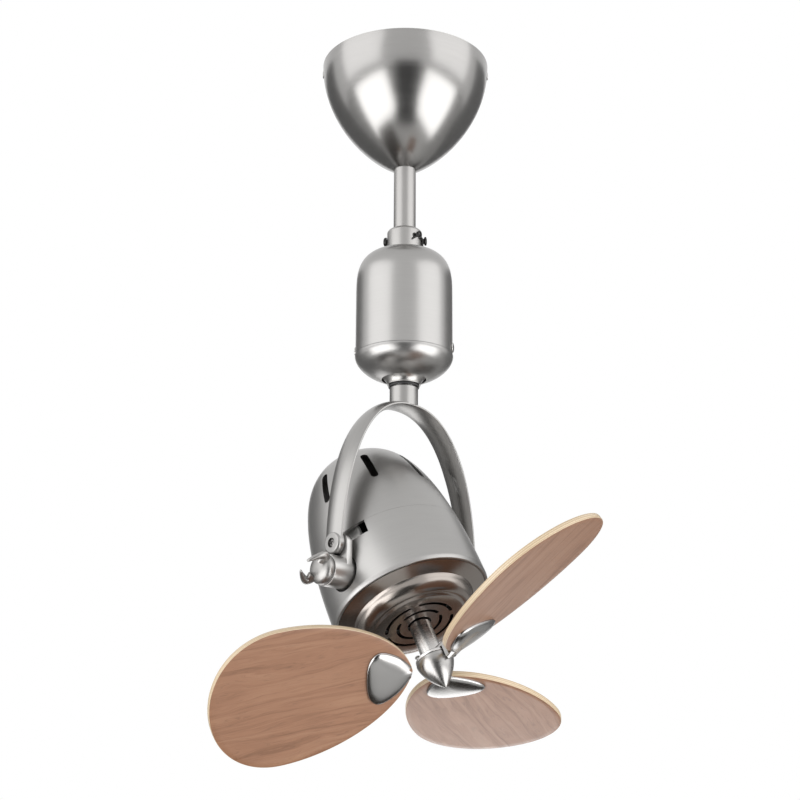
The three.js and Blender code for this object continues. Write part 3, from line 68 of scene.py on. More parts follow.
# ---- Studio ----
# A pale floor and a white surround. On either side of the camera a broad soft box low
# down with a dimmer one over it, and a small one low behind. Black and grey flags and
# a dark card under the fan are there for the metal to mirror.
scene.view_settings.view_transform = "Standard"


def feed(tree, target, **inputs):
    """Sets a node's inputs. Each is a value, or the socket that feeds it."""
    for key, value in inputs.items():
        plain = key.replace("_", " ").lower()
        socket = next(s for s in target.inputs if s.enabled and s.name.lower() == plain)
        if isinstance(value, bpy.types.NodeSocket):
            tree.links.new(value, socket)
        else:
            socket.default_value = value


def node(tree, kind, settings=(), **inputs):
    """A shader node with its settings and inputs."""
    made = tree.nodes.new("ShaderNode" + kind)
    for key, value in dict(settings).items():
        setattr(made, key, value)
    feed(tree, made, **inputs)
    return made


def sum_of(tree, operation, *sockets, kind="Math"):
    """The result of a sum done on sockets in their order."""
    made = node(tree, kind, {"operation": operation})
    for place, socket in enumerate(sockets):
        tree.links.new(socket, made.inputs[place])
    return made.outputs[0]


surround = bpy.data.worlds.new("white_surround")
scene.world = surround
surround.use_nodes = True
sky = surround.node_tree
sky.nodes.clear()
rays = node(sky, "LightPath").outputs
mirrored = sum_of(sky, "MAXIMUM", rays["Is Glossy Ray"], rays["Is Transmission Ray"])
white_part = sum_of(sky, "MAXIMUM", mirrored, rays["Is Camera Ray"])
sky_mix = node(sky, "MixShader", Fac=white_part)
for place, strength in ((1, 0.55), (2, 1.0)):   # a soft fill, and what is seen and mirrored
    light = node(sky, "Background", Color=(1, 1, 1, 1), Strength=strength)
    sky.links.new(light.outputs[0], sky_mix.inputs[place])
node(sky, "OutputWorld", Surface=sky_mix.outputs[0])

CAMERA_BEARING = -133.6  # degrees round from +X to the camera, seen from above
FAN_MIDDLE = Vector((0, 0, -0.34))


def from_camera(bearing, rise, distance):
    """A point round the fan. Bearing 0 is the camera's side, positive is to its right."""
    turn = radians(CAMERA_BEARING + bearing)
    lift = radians(rise)
    out = Vector((cos(turn) * cos(lift), sin(turn) * cos(lift), sin(lift)))
    return FAN_MIDDLE + out * distance


def soft_box(name, bearing, rise, distance, width, height, power):
    lamp = bpy.data.lights.new(name, "AREA")
    lamp.shape = "RECTANGLE"
    lamp.size = width
    lamp.size_y = height
    lamp.energy = power
    box = placed(name, lamp)
    box.location = from_camera(bearing, rise, distance)
    box.rotation_euler = (FAN_MIDDLE - box.location).to_track_quat("-Z", "Y").to_euler()
    box.visible_camera = False


for side, bearing in (("left", -56), ("right", 58)):
    soft_box(f"soft_box_{side}", bearing, -26, 2.2, 2.4, 1.7, 38)
    soft_box(f"soft_box_{side}_upper", bearing * 1.1, 22, 2.2, 2.4, 1.4, 12)
soft_box("soft_box_behind", 186, -32, 2.2, 1.5, 1.0, 8)


def flat_colour(name, colour):
    paint = bpy.data.materials.new(name)
    paint.use_nodes = True
    tree = paint.node_tree
    feed(tree, tree.nodes["Principled BSDF"], Base_Color=(*colour, 1), Roughness=0.9, Specular_IOR_Level=0)
    return paint


def stage_sheet(name, corners, paint, seen=True):
    mesh = bpy.data.meshes.new(name)
    mesh.from_pydata(corners, [], [(0, 1, 2, 3)])
    mesh.materials.append(paint)
    sheet = placed(name, mesh)
    sheet.visible_camera = seen


def level_sheet(name, low_x, high_x, low_y, high_y, drop, paint, seen=True):
    corners = ((low_x, low_y), (high_x, low_y), (high_x, high_y), (low_x, high_y))
    stage_sheet(name, [(x, y, drop) for x, y in corners], paint, seen)


level_sheet("floor", -14, 14, -14, 14, drop=-2.4, paint=flat_colour("pale_floor", (0.82, 0.82, 0.81)))


def flag(name, bearing, rise, distance, width, height, colour):
    """A card held near the fan, out of the camera's sight, for the metal to mirror."""
    middle = from_camera(bearing, rise, distance)
    facing = (FAN_MIDDLE - middle).normalized()
    side = facing.cross(Vector((0, 0, 1))).normalized() * width / 2
    lift = side.cross(facing).normalized() * height / 2
    corners = [middle + side * x + lift * y for x, y in ((-1, -1), (1, -1), (1, 1), (-1, 1))]
    stage_sheet(name, corners, flat_colour(name + "_card", (colour,) * 3), seen=False)


flag("flag_front", 3, -26, 1.7, 1.2, 1.9, 0.02)
flag("flag_left", -136, -8, 2.0, 1.7, 3.0, 0.22)
flag("flag_right", 136, 6, 2.0, 1.8, 1.8, 0.22)
dark_card = flat_colour("dark_card", (0.07, 0.062, 0.055))
level_sheet("card_below", -1.6, 2.2, -0.1, 1.15, drop=-1.9, paint=dark_card, seen=False)

# ---- Canopy ----
# A spun steel bell that hides the bracket and the wiring. It is closed round the rod
# below and open above, brushed on the lathe and nickel plated.
MM = 0.001


def quarter(steps, first=0):
    """The angles of a quarter turn in equal steps."""
    return [pi / 2 * i / steps for i in range(first, steps + 1)]


def turned(profile, steps):
    """Corners and faces of a closed profile of (radius, height) turned about Z."""
    area = sum(a[0] * b[1] - b[0] * a[1] for a, b in zip(profile, profile[1:] + profile[:1]))
    corners, rows = [], []
    for radius, height in profile if area > 0 else profile[::-1]:
        if radius < 1e-6:
            rows.append([len(corners)] * steps)
            corners.append((0, 0, height))
        else:
            rows.append(list(range(len(corners), len(corners) + steps)))
            for k in range(steps):
                turn = 2 * pi * k / steps
                corners.append((radius * cos(turn), radius * sin(turn), height))
    faces = []
    for row, nxt in zip(rows, rows[1:] + rows[:1]):
        for k in range(steps):
            j = (k + 1) % steps
            face = list(dict.fromkeys((row[k], row[j], nxt[j], nxt[k])))
            if len(face) > 2:
                faces.append(face)
    return corners, faces


def solid(name, shape, place=Matrix.Identity(4)):
    """A loose object from corners in millimetres and faces."""
    corners, faces = shape
    mesh = bpy.data.meshes.new(name)
    mesh.from_pydata([Vector(c) * MM for c in corners], [], faces)
    mesh.validate()
    return placed(name, mesh, place)


def spun(name, profile, steps, *place):
    return solid(name, turned(profile, steps), *place)


def fitted(piece, body, finish, slot_name, *nodes, crease=32):
    """Smooths, paints and mounts a finished piece in place of its CAD nodes."""
    piece.data.shade_smooth()
    piece.data.set_sharp_from_angle(angle=radians(crease))
    piece.data.materials.clear()
    piece.data.materials.append(finish)
    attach(piece, body)
    if nodes:
        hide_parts(*nodes)


def blank_finish(name):
    """A new material with its node tree, its shader and the piece's own coordinates."""
    made = bpy.data.materials.new(name)
    made.use_nodes = True
    tree = made.node_tree
    where = node(tree, "TexCoord").outputs["Object"]
    return made, tree, tree.nodes["Principled BSDF"], where


def noise(tree, where, scale, detail, **more):
    return node(tree, "TexNoise", Vector=where, Scale=scale, Detail=detail, **more).outputs[0]


def stretched(tree, where, factors):
    """Coordinates multiplied by a factor on each axis."""
    made = node(tree, "VectorMath", {"operation": "MULTIPLY"}, Vector=where)
    made.inputs[1].default_value = factors
    return made.outputs[0]


def spread(tree, value, low, high, start=0.3, end=0.7):
    """The middle of a noise spread over low to high."""
    return node(tree, "MapRange", Value=value, From_Min=start, From_Max=end,
                To_Min=low, To_Max=high).outputs[0]


def shaded(tree, colour, level):
    return node(tree, "VectorMath", {"operation": "SCALE"}, Vector=colour, Scale=level).outputs[0]


def lifted(tree, height, strength, distance=0.0002):
    return node(tree, "Bump", Height=height, Strength=strength, Distance=distance).outputs[0]


def line_finish(tree, shader, streak, colour, roughness, cloud=None):
    """Sets a shader to nickel plate over the fine lines that a streak gives."""
    level = spread(tree, streak, 0.975, 1.02)
    if cloud:
        level = sum_of(tree, "MULTIPLY", spread(tree, cloud, 0.985, 1.012), level)
    feed(tree, shader, Base_Color=shaded(tree, colour, level), Metallic=1,
         Roughness=spread(tree, streak, roughness - 0.015, roughness + 0.02),
         Normal=lifted(tree, streak, 0.006))


def lathe_brushed_nickel(name, colour, roughness, lines):
    """Nickel plate over fine turning lines that run round the piece's own Z axis."""
    metal, tree, shader, where = blank_finish(name)
    apart = node(tree, "SeparateXYZ", Vector=where).outputs
    round_z = sum_of(tree, "ARCTAN2", apart["Y"], apart["X"])
    flat = node(tree, "CombineXYZ", X=round_z, Z=apart["Z"]).outputs[0]
    streak = noise(tree, stretched(tree, flat, (1.5, 1, lines)), 1.0, 4.0, Roughness=0.6)
    line_finish(tree, shader, streak, colour, roughness, cloud=noise(tree, where, 22.0, 3.0))
    tangent = node(tree, "Tangent", {"direction_type": "RADIAL", "axis": "Z"}).outputs[0]
    feed(tree, shader, Anisotropic=0.3, Tangent=tangent)
    return metal


CANOPY_RADIUS = 80.2
CANOPY_DROP = 112.5     # where the bell would close if the rod weren't there
CANOPY_WALL = 1.4
ROD_HOLE = 10.8
BELL_SWELL = 1.483      # powers of the bell's outline, across and down
BELL_FALL = 1.033


def bell(radius, drop, steps=54):
    rim_gap = 0.5
    line = []
    for turn in quarter(steps):
        r = radius * cos(turn) ** BELL_SWELL
        if r > ROD_HOLE + 0.2:
            line.append((r, -drop * sin(turn) ** BELL_FALL - rim_gap))
    closing = acos((ROD_HOLE / radius) ** (1 / BELL_SWELL))
    return line + [(ROD_HOLE, -drop * sin(closing) ** BELL_FALL - rim_gap)]


canopy_nickel = lathe_brushed_nickel("canopy_nickel", (0.345, 0.338, 0.33), 0.23, lines=700)
canopy_outside = bell(CANOPY_RADIUS, CANOPY_DROP)
canopy_inside = bell(CANOPY_RADIUS - CANOPY_WALL, CANOPY_DROP - CANOPY_WALL)
canopy = spun("canopy_bell", canopy_outside + canopy_inside[::-1], 240)
fitted(canopy, "hanging_frame", canopy_nickel, "brushed_nickel", "canopy")

# ---- Ceiling bracket and ball ----
# A zinc-plated pressing screwed to the ceiling. Its saddle holds a nylon ball, and
# the rod hangs from a steel pin through the ball.


def dress(finish, *names):
    """CAD nodes that stay, in a finish."""
    for name in names:
        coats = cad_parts[name].data.materials
        coats.clear()
        coats.append(finish)


def mottled(name, colour, roughness, metallic, scale, depth, grit=0.0):
    """A plain finish with fine mottling, for zinc, castings, black oxide and nylon."""
    made, tree, shader, where = blank_finish(name)
    patch = noise(tree, where, scale, 5.0, Roughness=0.6)
    feed(tree, shader, Base_Color=shaded(tree, colour, spread(tree, patch, 1 - depth, 1 + depth)),
         Roughness=spread(tree, patch, roughness - 0.06, roughness + 0.06), Metallic=metallic)
    if grit:
        feed(tree, shader, Normal=lifted(tree, noise(tree, where, scale * 20, 3.0), grit))
    return made


zinc_plate = mottled("zinc_plate", (0.43, 0.44, 0.45), 0.42, 1.0, 90.0, 0.18)
black_nylon = mottled("black_nylon", (0.02, 0.02, 0.021), 0.5, 0.0, 120.0, 0.1, 0.15)
dress(zinc_plate, "ceiling_bracket", "ball_cross_pin")
dress(black_nylon, "hanger_ball")

# ---- Canopy screws ----
# Two low round-headed screws with a cross recess. They go in level through the
# canopy's rim, into the tabs of the bracket.


def polished_nickel_plate(name, colour, roughness):
    """Bright nickel, buffed by hand: faint smears and a few finer patches."""
    metal, tree, shader, where = blank_finish(name)
    smear = noise(tree, where, 45.0, 6.0, Roughness=0.65, Distortion=0.8)
    feed(tree, shader, Base_Color=shaded(tree, colour, spread(tree, smear, 0.96, 1.03)), Metallic=1,
         Roughness=spread(tree, smear, roughness - 0.04, roughness + 0.06))
    return metal


bright_nickel = polished_nickel_plate("bright_nickel", (0.52, 0.51, 0.495), 0.2)
CANOPY_SCREW_BEARING = 137
ALONG_X = Matrix.Rotation(pi / 2, 4, "Y")


def about_z(degrees):
    return Matrix.Rotation(radians(degrees), 4, "Z")


def moved(x, y, z):
    return Matrix.Translation((x * MM, y * MM, z * MM))


def raised(height):
    return moved(0, 0, height)


def at_bearing(degrees, height):
    """A place whose Z axis points out level at a bearing."""
    return raised(height) @ about_z(degrees) @ ALONG_X


def screw_profile(shank, head, start, seat, dome):
    """A round-headed screw along +Z: shank from start to seat, then a domed head."""
    line = [(0, start), (shank - 0.3, start), (shank, start + 0.3), (shank, seat), (head, seat)]
    edge = seat + 0.3
    return line + [(head * cos(turn), edge + (dome - 0.3) * sin(turn)) for turn in quarter(8)]


def baked(piece):
    """The mesh of an object with all that has been done to it."""
    bpy.context.view_layer.update()
    return bpy.data.meshes.new_from_object(piece.evaluated_get(bpy.context.evaluated_depsgraph_get()))


def cut_away(piece, *tools, operation="DIFFERENCE"):
    """Takes other solids out of a piece, or welds them on, and clears them away."""
    for tool in tools:
        step = piece.modifiers.new("step", "BOOLEAN")
        step.operation = operation
        step.object = tool
        step.solver = "EXACT"
    mesh = baked(piece)
    piece.modifiers.clear()
    piece.data = mesh
    for tool in tools:
        bpy.data.objects.remove(tool)


def cross_screw(name, profile, steps, place, start, width, length, first_turn=0.0, depth=6.0):
    """A turned screw with a cross recess that starts at a height in its head."""
    corners = [(x, y, z) for x in (-length / 2, length / 2) for y in (-width / 2, width / 2)
               for z in (start, start + depth)]
    faces = [(0, 1, 3, 2), (4, 6, 7, 5), (0, 4, 5, 1), (2, 3, 7, 6), (0, 2, 6, 4), (1, 5, 7, 3)]
    made = spun(name, profile, steps, place)
    cut_away(made, *[solid("recess", (corners, faces), place @ Matrix.Rotation(first_turn + spin, 4, "Z"))
                     for spin in (0, pi / 2)])
    return made


for index, bearing in enumerate((CANOPY_SCREW_BEARING, CANOPY_SCREW_BEARING + 180)):
    screw = cross_screw(f"canopy_screw_head_{index + 1}", screw_profile(1.9, 3.8, 70.5, 79.8, 0.9), 40,
                        at_bearing(bearing, -8), CANOPY_RADIUS, 0.7, 4.0)
    fitted(screw, "hanging_frame", bright_nickel, "polished_nickel", f"canopy_screw_{index + 1}")

# ---- Down rod ----
# A length of nickel-plated steel tube that carries the whole fan. The drawing die has
# left fine lines along it.


def eased(profile, radius, steps=5):
    """A closed outline with its sharp corners rounded, but for those on the axis."""
    out = []
    for i, here in enumerate(profile):
        corner = Vector(here)
        one = Vector(profile[i - 1]) - corner
        two = Vector(profile[(i + 1) % len(profile)]) - corner
        straight = one.normalized().dot(two.normalized()) < -0.93
        if straight or abs(corner.x) < 1e-6:
            out.append(tuple(corner))
            continue
        reach = min(radius, one.length * 0.45, two.length * 0.45)
        start = corner + one.normalized() * reach
        end = corner + two.normalized() * reach
        for t in (k / steps for k in range(steps + 1)):
            out.append(tuple(start * (1 - t) ** 2 + corner * 2 * t * (1 - t) + end * t ** 2))
    return out


def band(inner, outer, low, high):
    """A square-cornered outline, turned into a ring or a plain round bar."""
    return [(inner, low), (outer, low), (outer, high), (inner, high)]


def line_brushed_nickel(name, colour, roughness, fineness, detail):
    """Nickel plate over straight lines. Fineness says how close they are on each axis."""
    metal, tree, shader, where = blank_finish(name)
    streak = noise(tree, stretched(tree, where, fineness), 1.0, detail)
    line_finish(tree, shader, streak, colour, roughness)
    return metal


ROD_RADIUS = 10.5
ROD_BORE = 8.2
rod_low, rod_high = (corner.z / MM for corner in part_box("down_rod"))
rod = spun("down_rod_tube", eased(band(ROD_BORE, ROD_RADIUS, rod_low, rod_high), 0.5), 96)
rod_nickel = line_brushed_nickel("rod_nickel", (0.36, 0.352, 0.343), 0.36, (900, 900, 12), 3.0)
fitted(rod, "hanging_frame", rod_nickel, "brushed_nickel", "down_rod")

# ---- Rod coupling ----
# A turned collar with a low sloping shoulder. A clevis pin with a spring clip and a
# black set screw hold the rod in it, and its threaded nipple goes into the housing.
coupling_low, coupling_high = (corner.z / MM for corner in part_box("rod_coupling"))
COLLAR_RADIUS = 16.5
SHOULDER_RADIUS = 12.0
SOCKET_RADIUS = 10.8    # the rod stands in the socket
NIPPLE_RADIUS = 9
NIPPLE_BORE = 5.5
collar_low = coupling_high - 25.5
socket_low = coupling_high - 19.3
coupling_profile = [(SOCKET_RADIUS, socket_low), (SOCKET_RADIUS, coupling_high - 3.3),
                    (11.2, coupling_high - 2.9)]
coupling_profile += [(SHOULDER_RADIUS + (COLLAR_RADIUS - SHOULDER_RADIUS) * sin(turn) ** 1.1,
                      coupling_high - 3.4 - 3.6 * (1 - cos(turn) ** 1.1)) for turn in quarter(12)]
coupling_profile += [(COLLAR_RADIUS, collar_low + 0.5), (COLLAR_RADIUS - 0.5, collar_low),
                     (NIPPLE_RADIUS, collar_low), (NIPPLE_RADIUS, coupling_low),
                     (NIPPLE_BORE, coupling_low), (NIPPLE_BORE, socket_low)]
coupling = spun("coupling_collar", coupling_profile, 120)


def plug(radius, low, high, steps, place):
    """A plain round solid along a place's Z axis, for bores and pads."""
    return spun("plug", band(0, radius, low, high), steps, place)


SET_SCREW_BEARING = 262
set_screw_place = at_bearing(SET_SCREW_BEARING, coupling_high - 13.4)
cut_away(coupling, plug(2.6, 10.6, 20, 32, set_screw_place))
coupling_nickel = lathe_brushed_nickel("coupling_nickel", (0.36, 0.352, 0.343), 0.34, lines=900)
fitted(coupling, "hanging_frame", coupling_nickel, "brushed_nickel", "rod_coupling")

black_oxide = mottled("black_oxide", (0.035, 0.034, 0.033), 0.34, 0.8, 150.0, 0.25)
CLEVIS_BEARING = -48
clevis_height = coupling_high - 14.8
pin_profile = [(0, -20.2), (2.4, -20.0), (4.0, -19.2), (4.4, -18.0), (4.4, -16.9), (2.6, -16.8),
               (2.6, 18.4), (3.9, 18.9), (4.3, 19.7), (4.0, 20.6), (2.4, 21.1), (0, 21.2)]
clevis_pin = spun("clevis_pin_turned", pin_profile, 48, at_bearing(CLEVIS_BEARING, clevis_height))
fitted(clevis_pin, "hanging_frame", black_oxide, "black_steel", "clevis_pin")


def bent_wire(name, points, radius, place):
    """A round wire along a smooth line through points."""
    curve = bpy.data.curves.new(name, "CURVE")
    curve.dimensions = "3D"
    line = curve.splines.new("BEZIER")
    line.bezier_points.add(len(points) - 1)
    for spot, point in zip(line.bezier_points, points):
        spot.co = Vector(point) * MM
        spot.handle_left_type = spot.handle_right_type = "AUTO"
    curve.bevel_depth = radius * MM
    curve.bevel_resolution = 3
    curve.resolution_u = 10
    curve.use_fill_caps = True
    holder = placed(name, curve, place)
    made = placed(name, baked(holder), place)
    bpy.data.objects.remove(holder)
    return made


CLIP_RADIUS = 17.65     # the clip lies on the collar
clip_points = []
for bearing, height in ((26, -2.6), (33, -1.0), (41, 0.4), (47.5, 1.9), (47, 4.4), (53, 6.1), (60, 5.2),
                        (61.5, 3.0), (57.5, 1.4), (60, 0.4), (66, 0.9), (72, -0.4), (74.5, -3.2),
                        (73.5, -6.4)):
    turn = radians(CAMERA_BEARING + bearing)
    clip_points.append((CLIP_RADIUS * cos(turn), CLIP_RADIUS * sin(turn), height))
clip = bent_wire("clevis_spring_clip", clip_points, 0.9, raised(clevis_height))
fitted(clip, "hanging_frame", black_oxide, "black_steel", "clevis_clip")

set_screw_line = eased([(0, 10.9), (2.4, 10.9), (2.4, 16.9), (1.2, 16.9), (1.2, 14.6), (0, 14.6)], 0.2)
set_screw = spun("coupling_set_screw", set_screw_line, 36, set_screw_place)
fitted(set_screw, "hanging_frame", black_oxide, "black_steel", "coupling_grub_screw")

# ---- Drive housing ----
# A deep-drawn capsule of nickel-plated steel in two pieces: a shell with a domed top,
# and a bowl pressed up into it, held by a domed screw on each side.
HOUSING_RADIUS = 45.1
HOUSING_WALL = 1.5
SHELL_DOME = (45.2, 3.45)   # depth from the apex, and power of the superellipse
BOWL_DOME = (-25.4, 1.85)
SHELL_OPENING = 9.4
BOWL_OPENING = 20.6
BOWL_PROUD = 0.5            # the bowl stands out this far beyond the shell's wall
SEAM_HALF_GAP = 0.03
housing_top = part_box("housing_shell")[1].z / MM
housing_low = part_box("housing_base")[0].z / MM
seam = housing_low + 22
housing_nickel = lathe_brushed_nickel("housing_nickel", (0.375, 0.368, 0.36), 0.3, lines=800)


def dome_line(apex, dome, offset, end_radius, steps=40):
    """From the straight wall to end_radius, over a superellipse dome. Its depth is signed."""
    depth, power = dome
    radius = HOUSING_RADIUS - offset
    reach = copysign(abs(depth) - offset, depth)
    last = (1 - (end_radius / radius) ** power) ** (1 / power)
    line = []
    for t in map(sin, quarter(steps)):
        r = radius * max(1 - t ** power, 0) ** (1 / power)
        if r <= end_radius:
            break
        line.append((r, apex - depth + reach * t))
    return line + [(end_radius, apex - depth + reach * last)]


shell_low = seam + SEAM_HALF_GAP
shell_outside = [(HOUSING_RADIUS, shell_low)] + dome_line(housing_top, SHELL_DOME, 0, SHELL_OPENING)
shell_inside = [(HOUSING_RADIUS - HOUSING_WALL, shell_low)]
shell_inside += dome_line(housing_top, SHELL_DOME, HOUSING_WALL, SHELL_OPENING)
housing_shell = spun("housing_drawn_shell", shell_outside + shell_inside[::-1], 200)
fitted(housing_shell, "hanging_frame", housing_nickel, "brushed_nickel", "housing_shell")

bowl_apex = housing_low - 4.0   # below the opening, where the bowl would close
bowl_high = seam - SEAM_HALF_GAP
bowl_outside = [(HOUSING_RADIUS - 0.1, bowl_high)]
bowl_outside += dome_line(bowl_apex, BOWL_DOME, -BOWL_PROUD, BOWL_OPENING)
bowl_inside = [p for p in dome_line(bowl_apex, BOWL_DOME, HOUSING_WALL, BOWL_OPENING) if p[1] <= seam - 3]
lip_outer = HOUSING_RADIUS - HOUSING_WALL - 0.3
lip_inner = HOUSING_RADIUS - 3.8
bowl_lip = [(lip_inner, seam - 2.6), (lip_inner, seam + 12.2), (lip_outer, seam + 12.2),
            (lip_outer, bowl_high)]
bowl = spun("housing_bowl", bowl_outside + bowl_inside[::-1] + bowl_lip, 200)
fitted(bowl, "hanging_frame", housing_nickel, "brushed_nickel", "housing_base")

HOUSING_SCREW_BEARING = -53
for index, bearing in enumerate((HOUSING_SCREW_BEARING, HOUSING_SCREW_BEARING + 180)):
    screw = cross_screw(f"housing_domed_screw_{index + 1}", screw_profile(2, 5, 37.6, 45.3, 1.5), 48,
                        at_bearing(bearing, seam + 6.2), 46.0, 0.9, 4.6)
    fitted(screw, "hanging_frame", bright_nickel, "polished_nickel", f"housing_screw_{index + 1}")

# ---- Drive and spindle ----
# Inside the housing: a pressed frame hung from the coupling's nut, a gear motor with a
# nylon pinion, the spindle with its gear, slip ring and two bearings.
cast_grey = mottled("cast_grey", (0.50, 0.51, 0.52), 0.55, 0.9, 140.0, 0.12, 0.4)
ground_steel = mottled("ground_steel", (0.46, 0.47, 0.48), 0.24, 1.0, 60.0, 0.06)
natural_nylon = mottled("natural_nylon", (0.70, 0.68, 0.62), 0.45, 0.0, 100.0, 0.05, 0.1)
dress(zinc_plate, "chassis_frame", "coupling_nut", "spindle")
dress(natural_nylon, "slip_ring", "drive_pinion", "spindle_gear")
dress(ground_steel, "spindle_bearing_upper", "spindle_bearing_lower")
dress(cast_grey, "orbit_gear_motor")
dress(black_oxide, "arm_grub_screw")

# ---- Bearing sleeve ----
# A turned sleeve bolted up inside the housing. Its polished end comes out through the
# bowl's opening, draws in to a concave flare over a black ring and holds a bearing.
sleeve_low, sleeve_high = (corner.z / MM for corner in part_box("bearing_sleeve"))
FLANGE_RADIUS = 33
SLEEVE_RADIUS = 18.6
FLARE_SMALL = 15.4
FLARE_REACH = 4.1
BEARING_SEAT = 11.3
flange_low = sleeve_high - 4
sleeve_profile = [(BEARING_SEAT, sleeve_high), (FLANGE_RADIUS, sleeve_high), (FLANGE_RADIUS, flange_low),
                  (SLEEVE_RADIUS, flange_low), (SLEEVE_RADIUS, sleeve_low + 10.2)]
for i in range(13):
    sleeve_profile.append((FLARE_SMALL + FLARE_REACH * (1 - i / 12) ** 2, sleeve_low + 9.4 - 7.0 * i / 12))
sleeve_profile += [(14.9, sleeve_low + 2.5), (12.3, sleeve_low + 2.5), (12.3, sleeve_low),
                   (6.6, sleeve_low), (6.6, sleeve_low + 1.4), (BEARING_SEAT, sleeve_low + 1.4)]
sleeve = spun("bearing_sleeve_turned", eased(sleeve_profile, 0.35), 120)
sleeve_nickel = polished_nickel_plate("sleeve_nickel", (0.40, 0.392, 0.38), 0.3)
fitted(sleeve, "hanging_frame", sleeve_nickel, "polished_nickel", "bearing_sleeve")
# A near-black ring under the flare gives the dark band there.
ring_line = eased(band(12.5, 14.2, sleeve_low + 0.1, sleeve_low + 2.3), 0.3)
black_ring = spun("sleeve_black_ring", ring_line, 96)
fitted(black_ring, "hanging_frame", black_nylon, "black_nylon")

# ---- U-arm ----
# One flat oval steel bar bent to a deep U and drawn narrower towards its ends, with a
# turned neck welded on its crown and a round foot at each end. Brushed along the bar.
PIVOT_DROP = -513.2
ARM_RISE = 165.9
ARM_HALF_SPAN = 82.9
ARM_POWER = 2.29
ARM_WIDTH = 25
ARM_TAPER = 4.6         # narrower by this much at the feet
TAPER_RISE = 90         # and this far above them at its full width
ARM_CROWN = 7.0
ARM_EDGE = 2.2
FOOT_RISE = 24.8
FOOT_RADIUS = 10.4
FOOT_FACE = 7.9         # the flat inside the foot's rounded edge
FOOT_THICKNESS = 7.0
SCREW_HOLE = 2.3
BOLT_HOLE = 4.3
foot_turn = asin((FOOT_RISE / ARM_RISE) ** (ARM_POWER / 2))


def arm_point(turn):
    x = ARM_HALF_SPAN * copysign(abs(cos(turn)) ** (2 / ARM_POWER), cos(turn))
    return Vector((x, 0, ARM_RISE * sin(turn) ** (2 / ARM_POWER)))


def lofted(rings):
    """Corners and faces of a skin over equal rings, closed at both ends."""
    sides = len(rings[0])
    corners = [tuple(point) for ring in rings for point in ring]
    last = len(corners) - sides
    faces = []
    for ring in range(0, last, sides):
        for i in range(sides):
            a, b = ring + i, ring + (i + 1) % sides
            faces.append((a, b, b + sides, a + sides))
    return corners, faces + [tuple(reversed(range(sides))), tuple(range(last, last + sides))]


def arm_rings(steps=150, around=40):
    rings = []
    for i in range(steps + 1):
        turn = foot_turn + (pi - 2 * foot_turn) * i / steps
        ahead = arm_point(min(turn + 0.004, pi - 1e-5)) - arm_point(max(turn - 0.004, 1e-5))
        outward = Vector((ahead.z, 0, -ahead.x)).normalized()
        width = ARM_WIDTH - ARM_TAPER * max(1 - (arm_point(turn).z - FOOT_RISE) / TAPER_RISE, 0)
        ring = []
        for k in range(around):
            spin = 2 * pi * k / around
            share = copysign(abs(cos(spin)) ** 0.8, cos(spin))
            across = -share * width / 2
            bulge = ARM_EDGE + (ARM_CROWN - ARM_EDGE) * (1 - share ** 2)
            thick = copysign(abs(sin(spin)) ** 0.3, sin(spin)) * bulge / 2
            ring.append(arm_point(turn) + outward * thick + Vector((0, across, 0)))
        rings.append(ring)
    return rings


AT_PIVOT = raised(PIVOT_DROP)
ARM_LINES = (25, 1100, 25)  # the brushed lines follow the bar's bend in the XZ plane
arm_nickel = line_brushed_nickel("arm_nickel", (0.35, 0.343, 0.334), 0.33, ARM_LINES, 4.0)
arm = solid("u_arm_bar", lofted(arm_rings()), AT_PIVOT)
foot_x = arm_point(foot_turn).x


def merged(piece, *others):
    """Welds other solids on to a piece."""
    cut_away(piece, *others, operation="UNION")


NECK_RADIUS = 13.15
neck_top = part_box("u_arm")[1].z / MM - PIVOT_DROP
neck_line = [(0, ARM_RISE), (NECK_RADIUS, ARM_RISE), (NECK_RADIUS, neck_top - 0.4),
             (NECK_RADIUS - 0.4, neck_top), (0, neck_top)]
welds = [spun("neck", neck_line, 96, AT_PIVOT)]
holes = [plug(6.3, neck_top - 8.3, neck_top + 2, 64, AT_PIVOT)]
half = FOOT_THICKNESS / 2
foot_line = [(0, -half), (FOOT_RADIUS - 0.4, -half), (FOOT_RADIUS, 0.4 - half)]
foot_line += [(FOOT_FACE + (FOOT_RADIUS - FOOT_FACE) * cos(spin), half - 4.2 * (1 - sin(spin)))
              for spin in quarter(10)] + [(0, half)]
foot_bore = band(0, SCREW_HOLE, -7, half - 2.4)[:3] + band(0, BOLT_HOLE, half - 2.4, half + 3)[1:]
for turn in (0, 180):
    place = AT_PIVOT @ about_z(turn) @ moved(foot_x, 0, FOOT_RISE) @ ALONG_X
    welds.append(spun("foot", foot_line, 72, place))
    holes.append(spun("bore", foot_bore, 48, place))
merged(arm, *welds)
cut_away(arm, *holes)
fitted(arm, "turning_arm", arm_nickel, "brushed_nickel", "u_arm")

# ---- Pivots ----
# At each side a turned barrel with an upright ear, screwed behind the arm's foot. A
# bolt from the motor's carrier goes through it, with a black fibre washer between.
BARREL_RADIUS = 14.2
BARREL_INNER = 67.0
BARREL_OUTER = 92.5
EAR_INNER = 73.0
EAR_OUTER = 78.6
WASHER_RADIUS = 15.4


def inset_ring(outline, inset, height):
    """An outline of (x, y) points moved inwards, at a height."""
    ring = []
    for i, point in enumerate(outline):
        along = (Vector(outline[(i + 1) % len(outline)]) - Vector(outline[i - 1])).normalized()
        ring.append((*(Vector(point) + Vector((-along.y, along.x)) * inset), height))
    return ring


def plate_rings(outline, low, high, edge):
    """The rings of a plate from low to high, with eased edges."""
    part = edge * 0.29
    steps = ((edge, low), (part, low + part), (0, low + edge),
             (0, high - edge), (part, high - part), (edge, high))
    return [inset_ring(outline, inset, height) for inset, height in steps]


def pressed(*plate):
    return lofted(plate_rings(*plate))


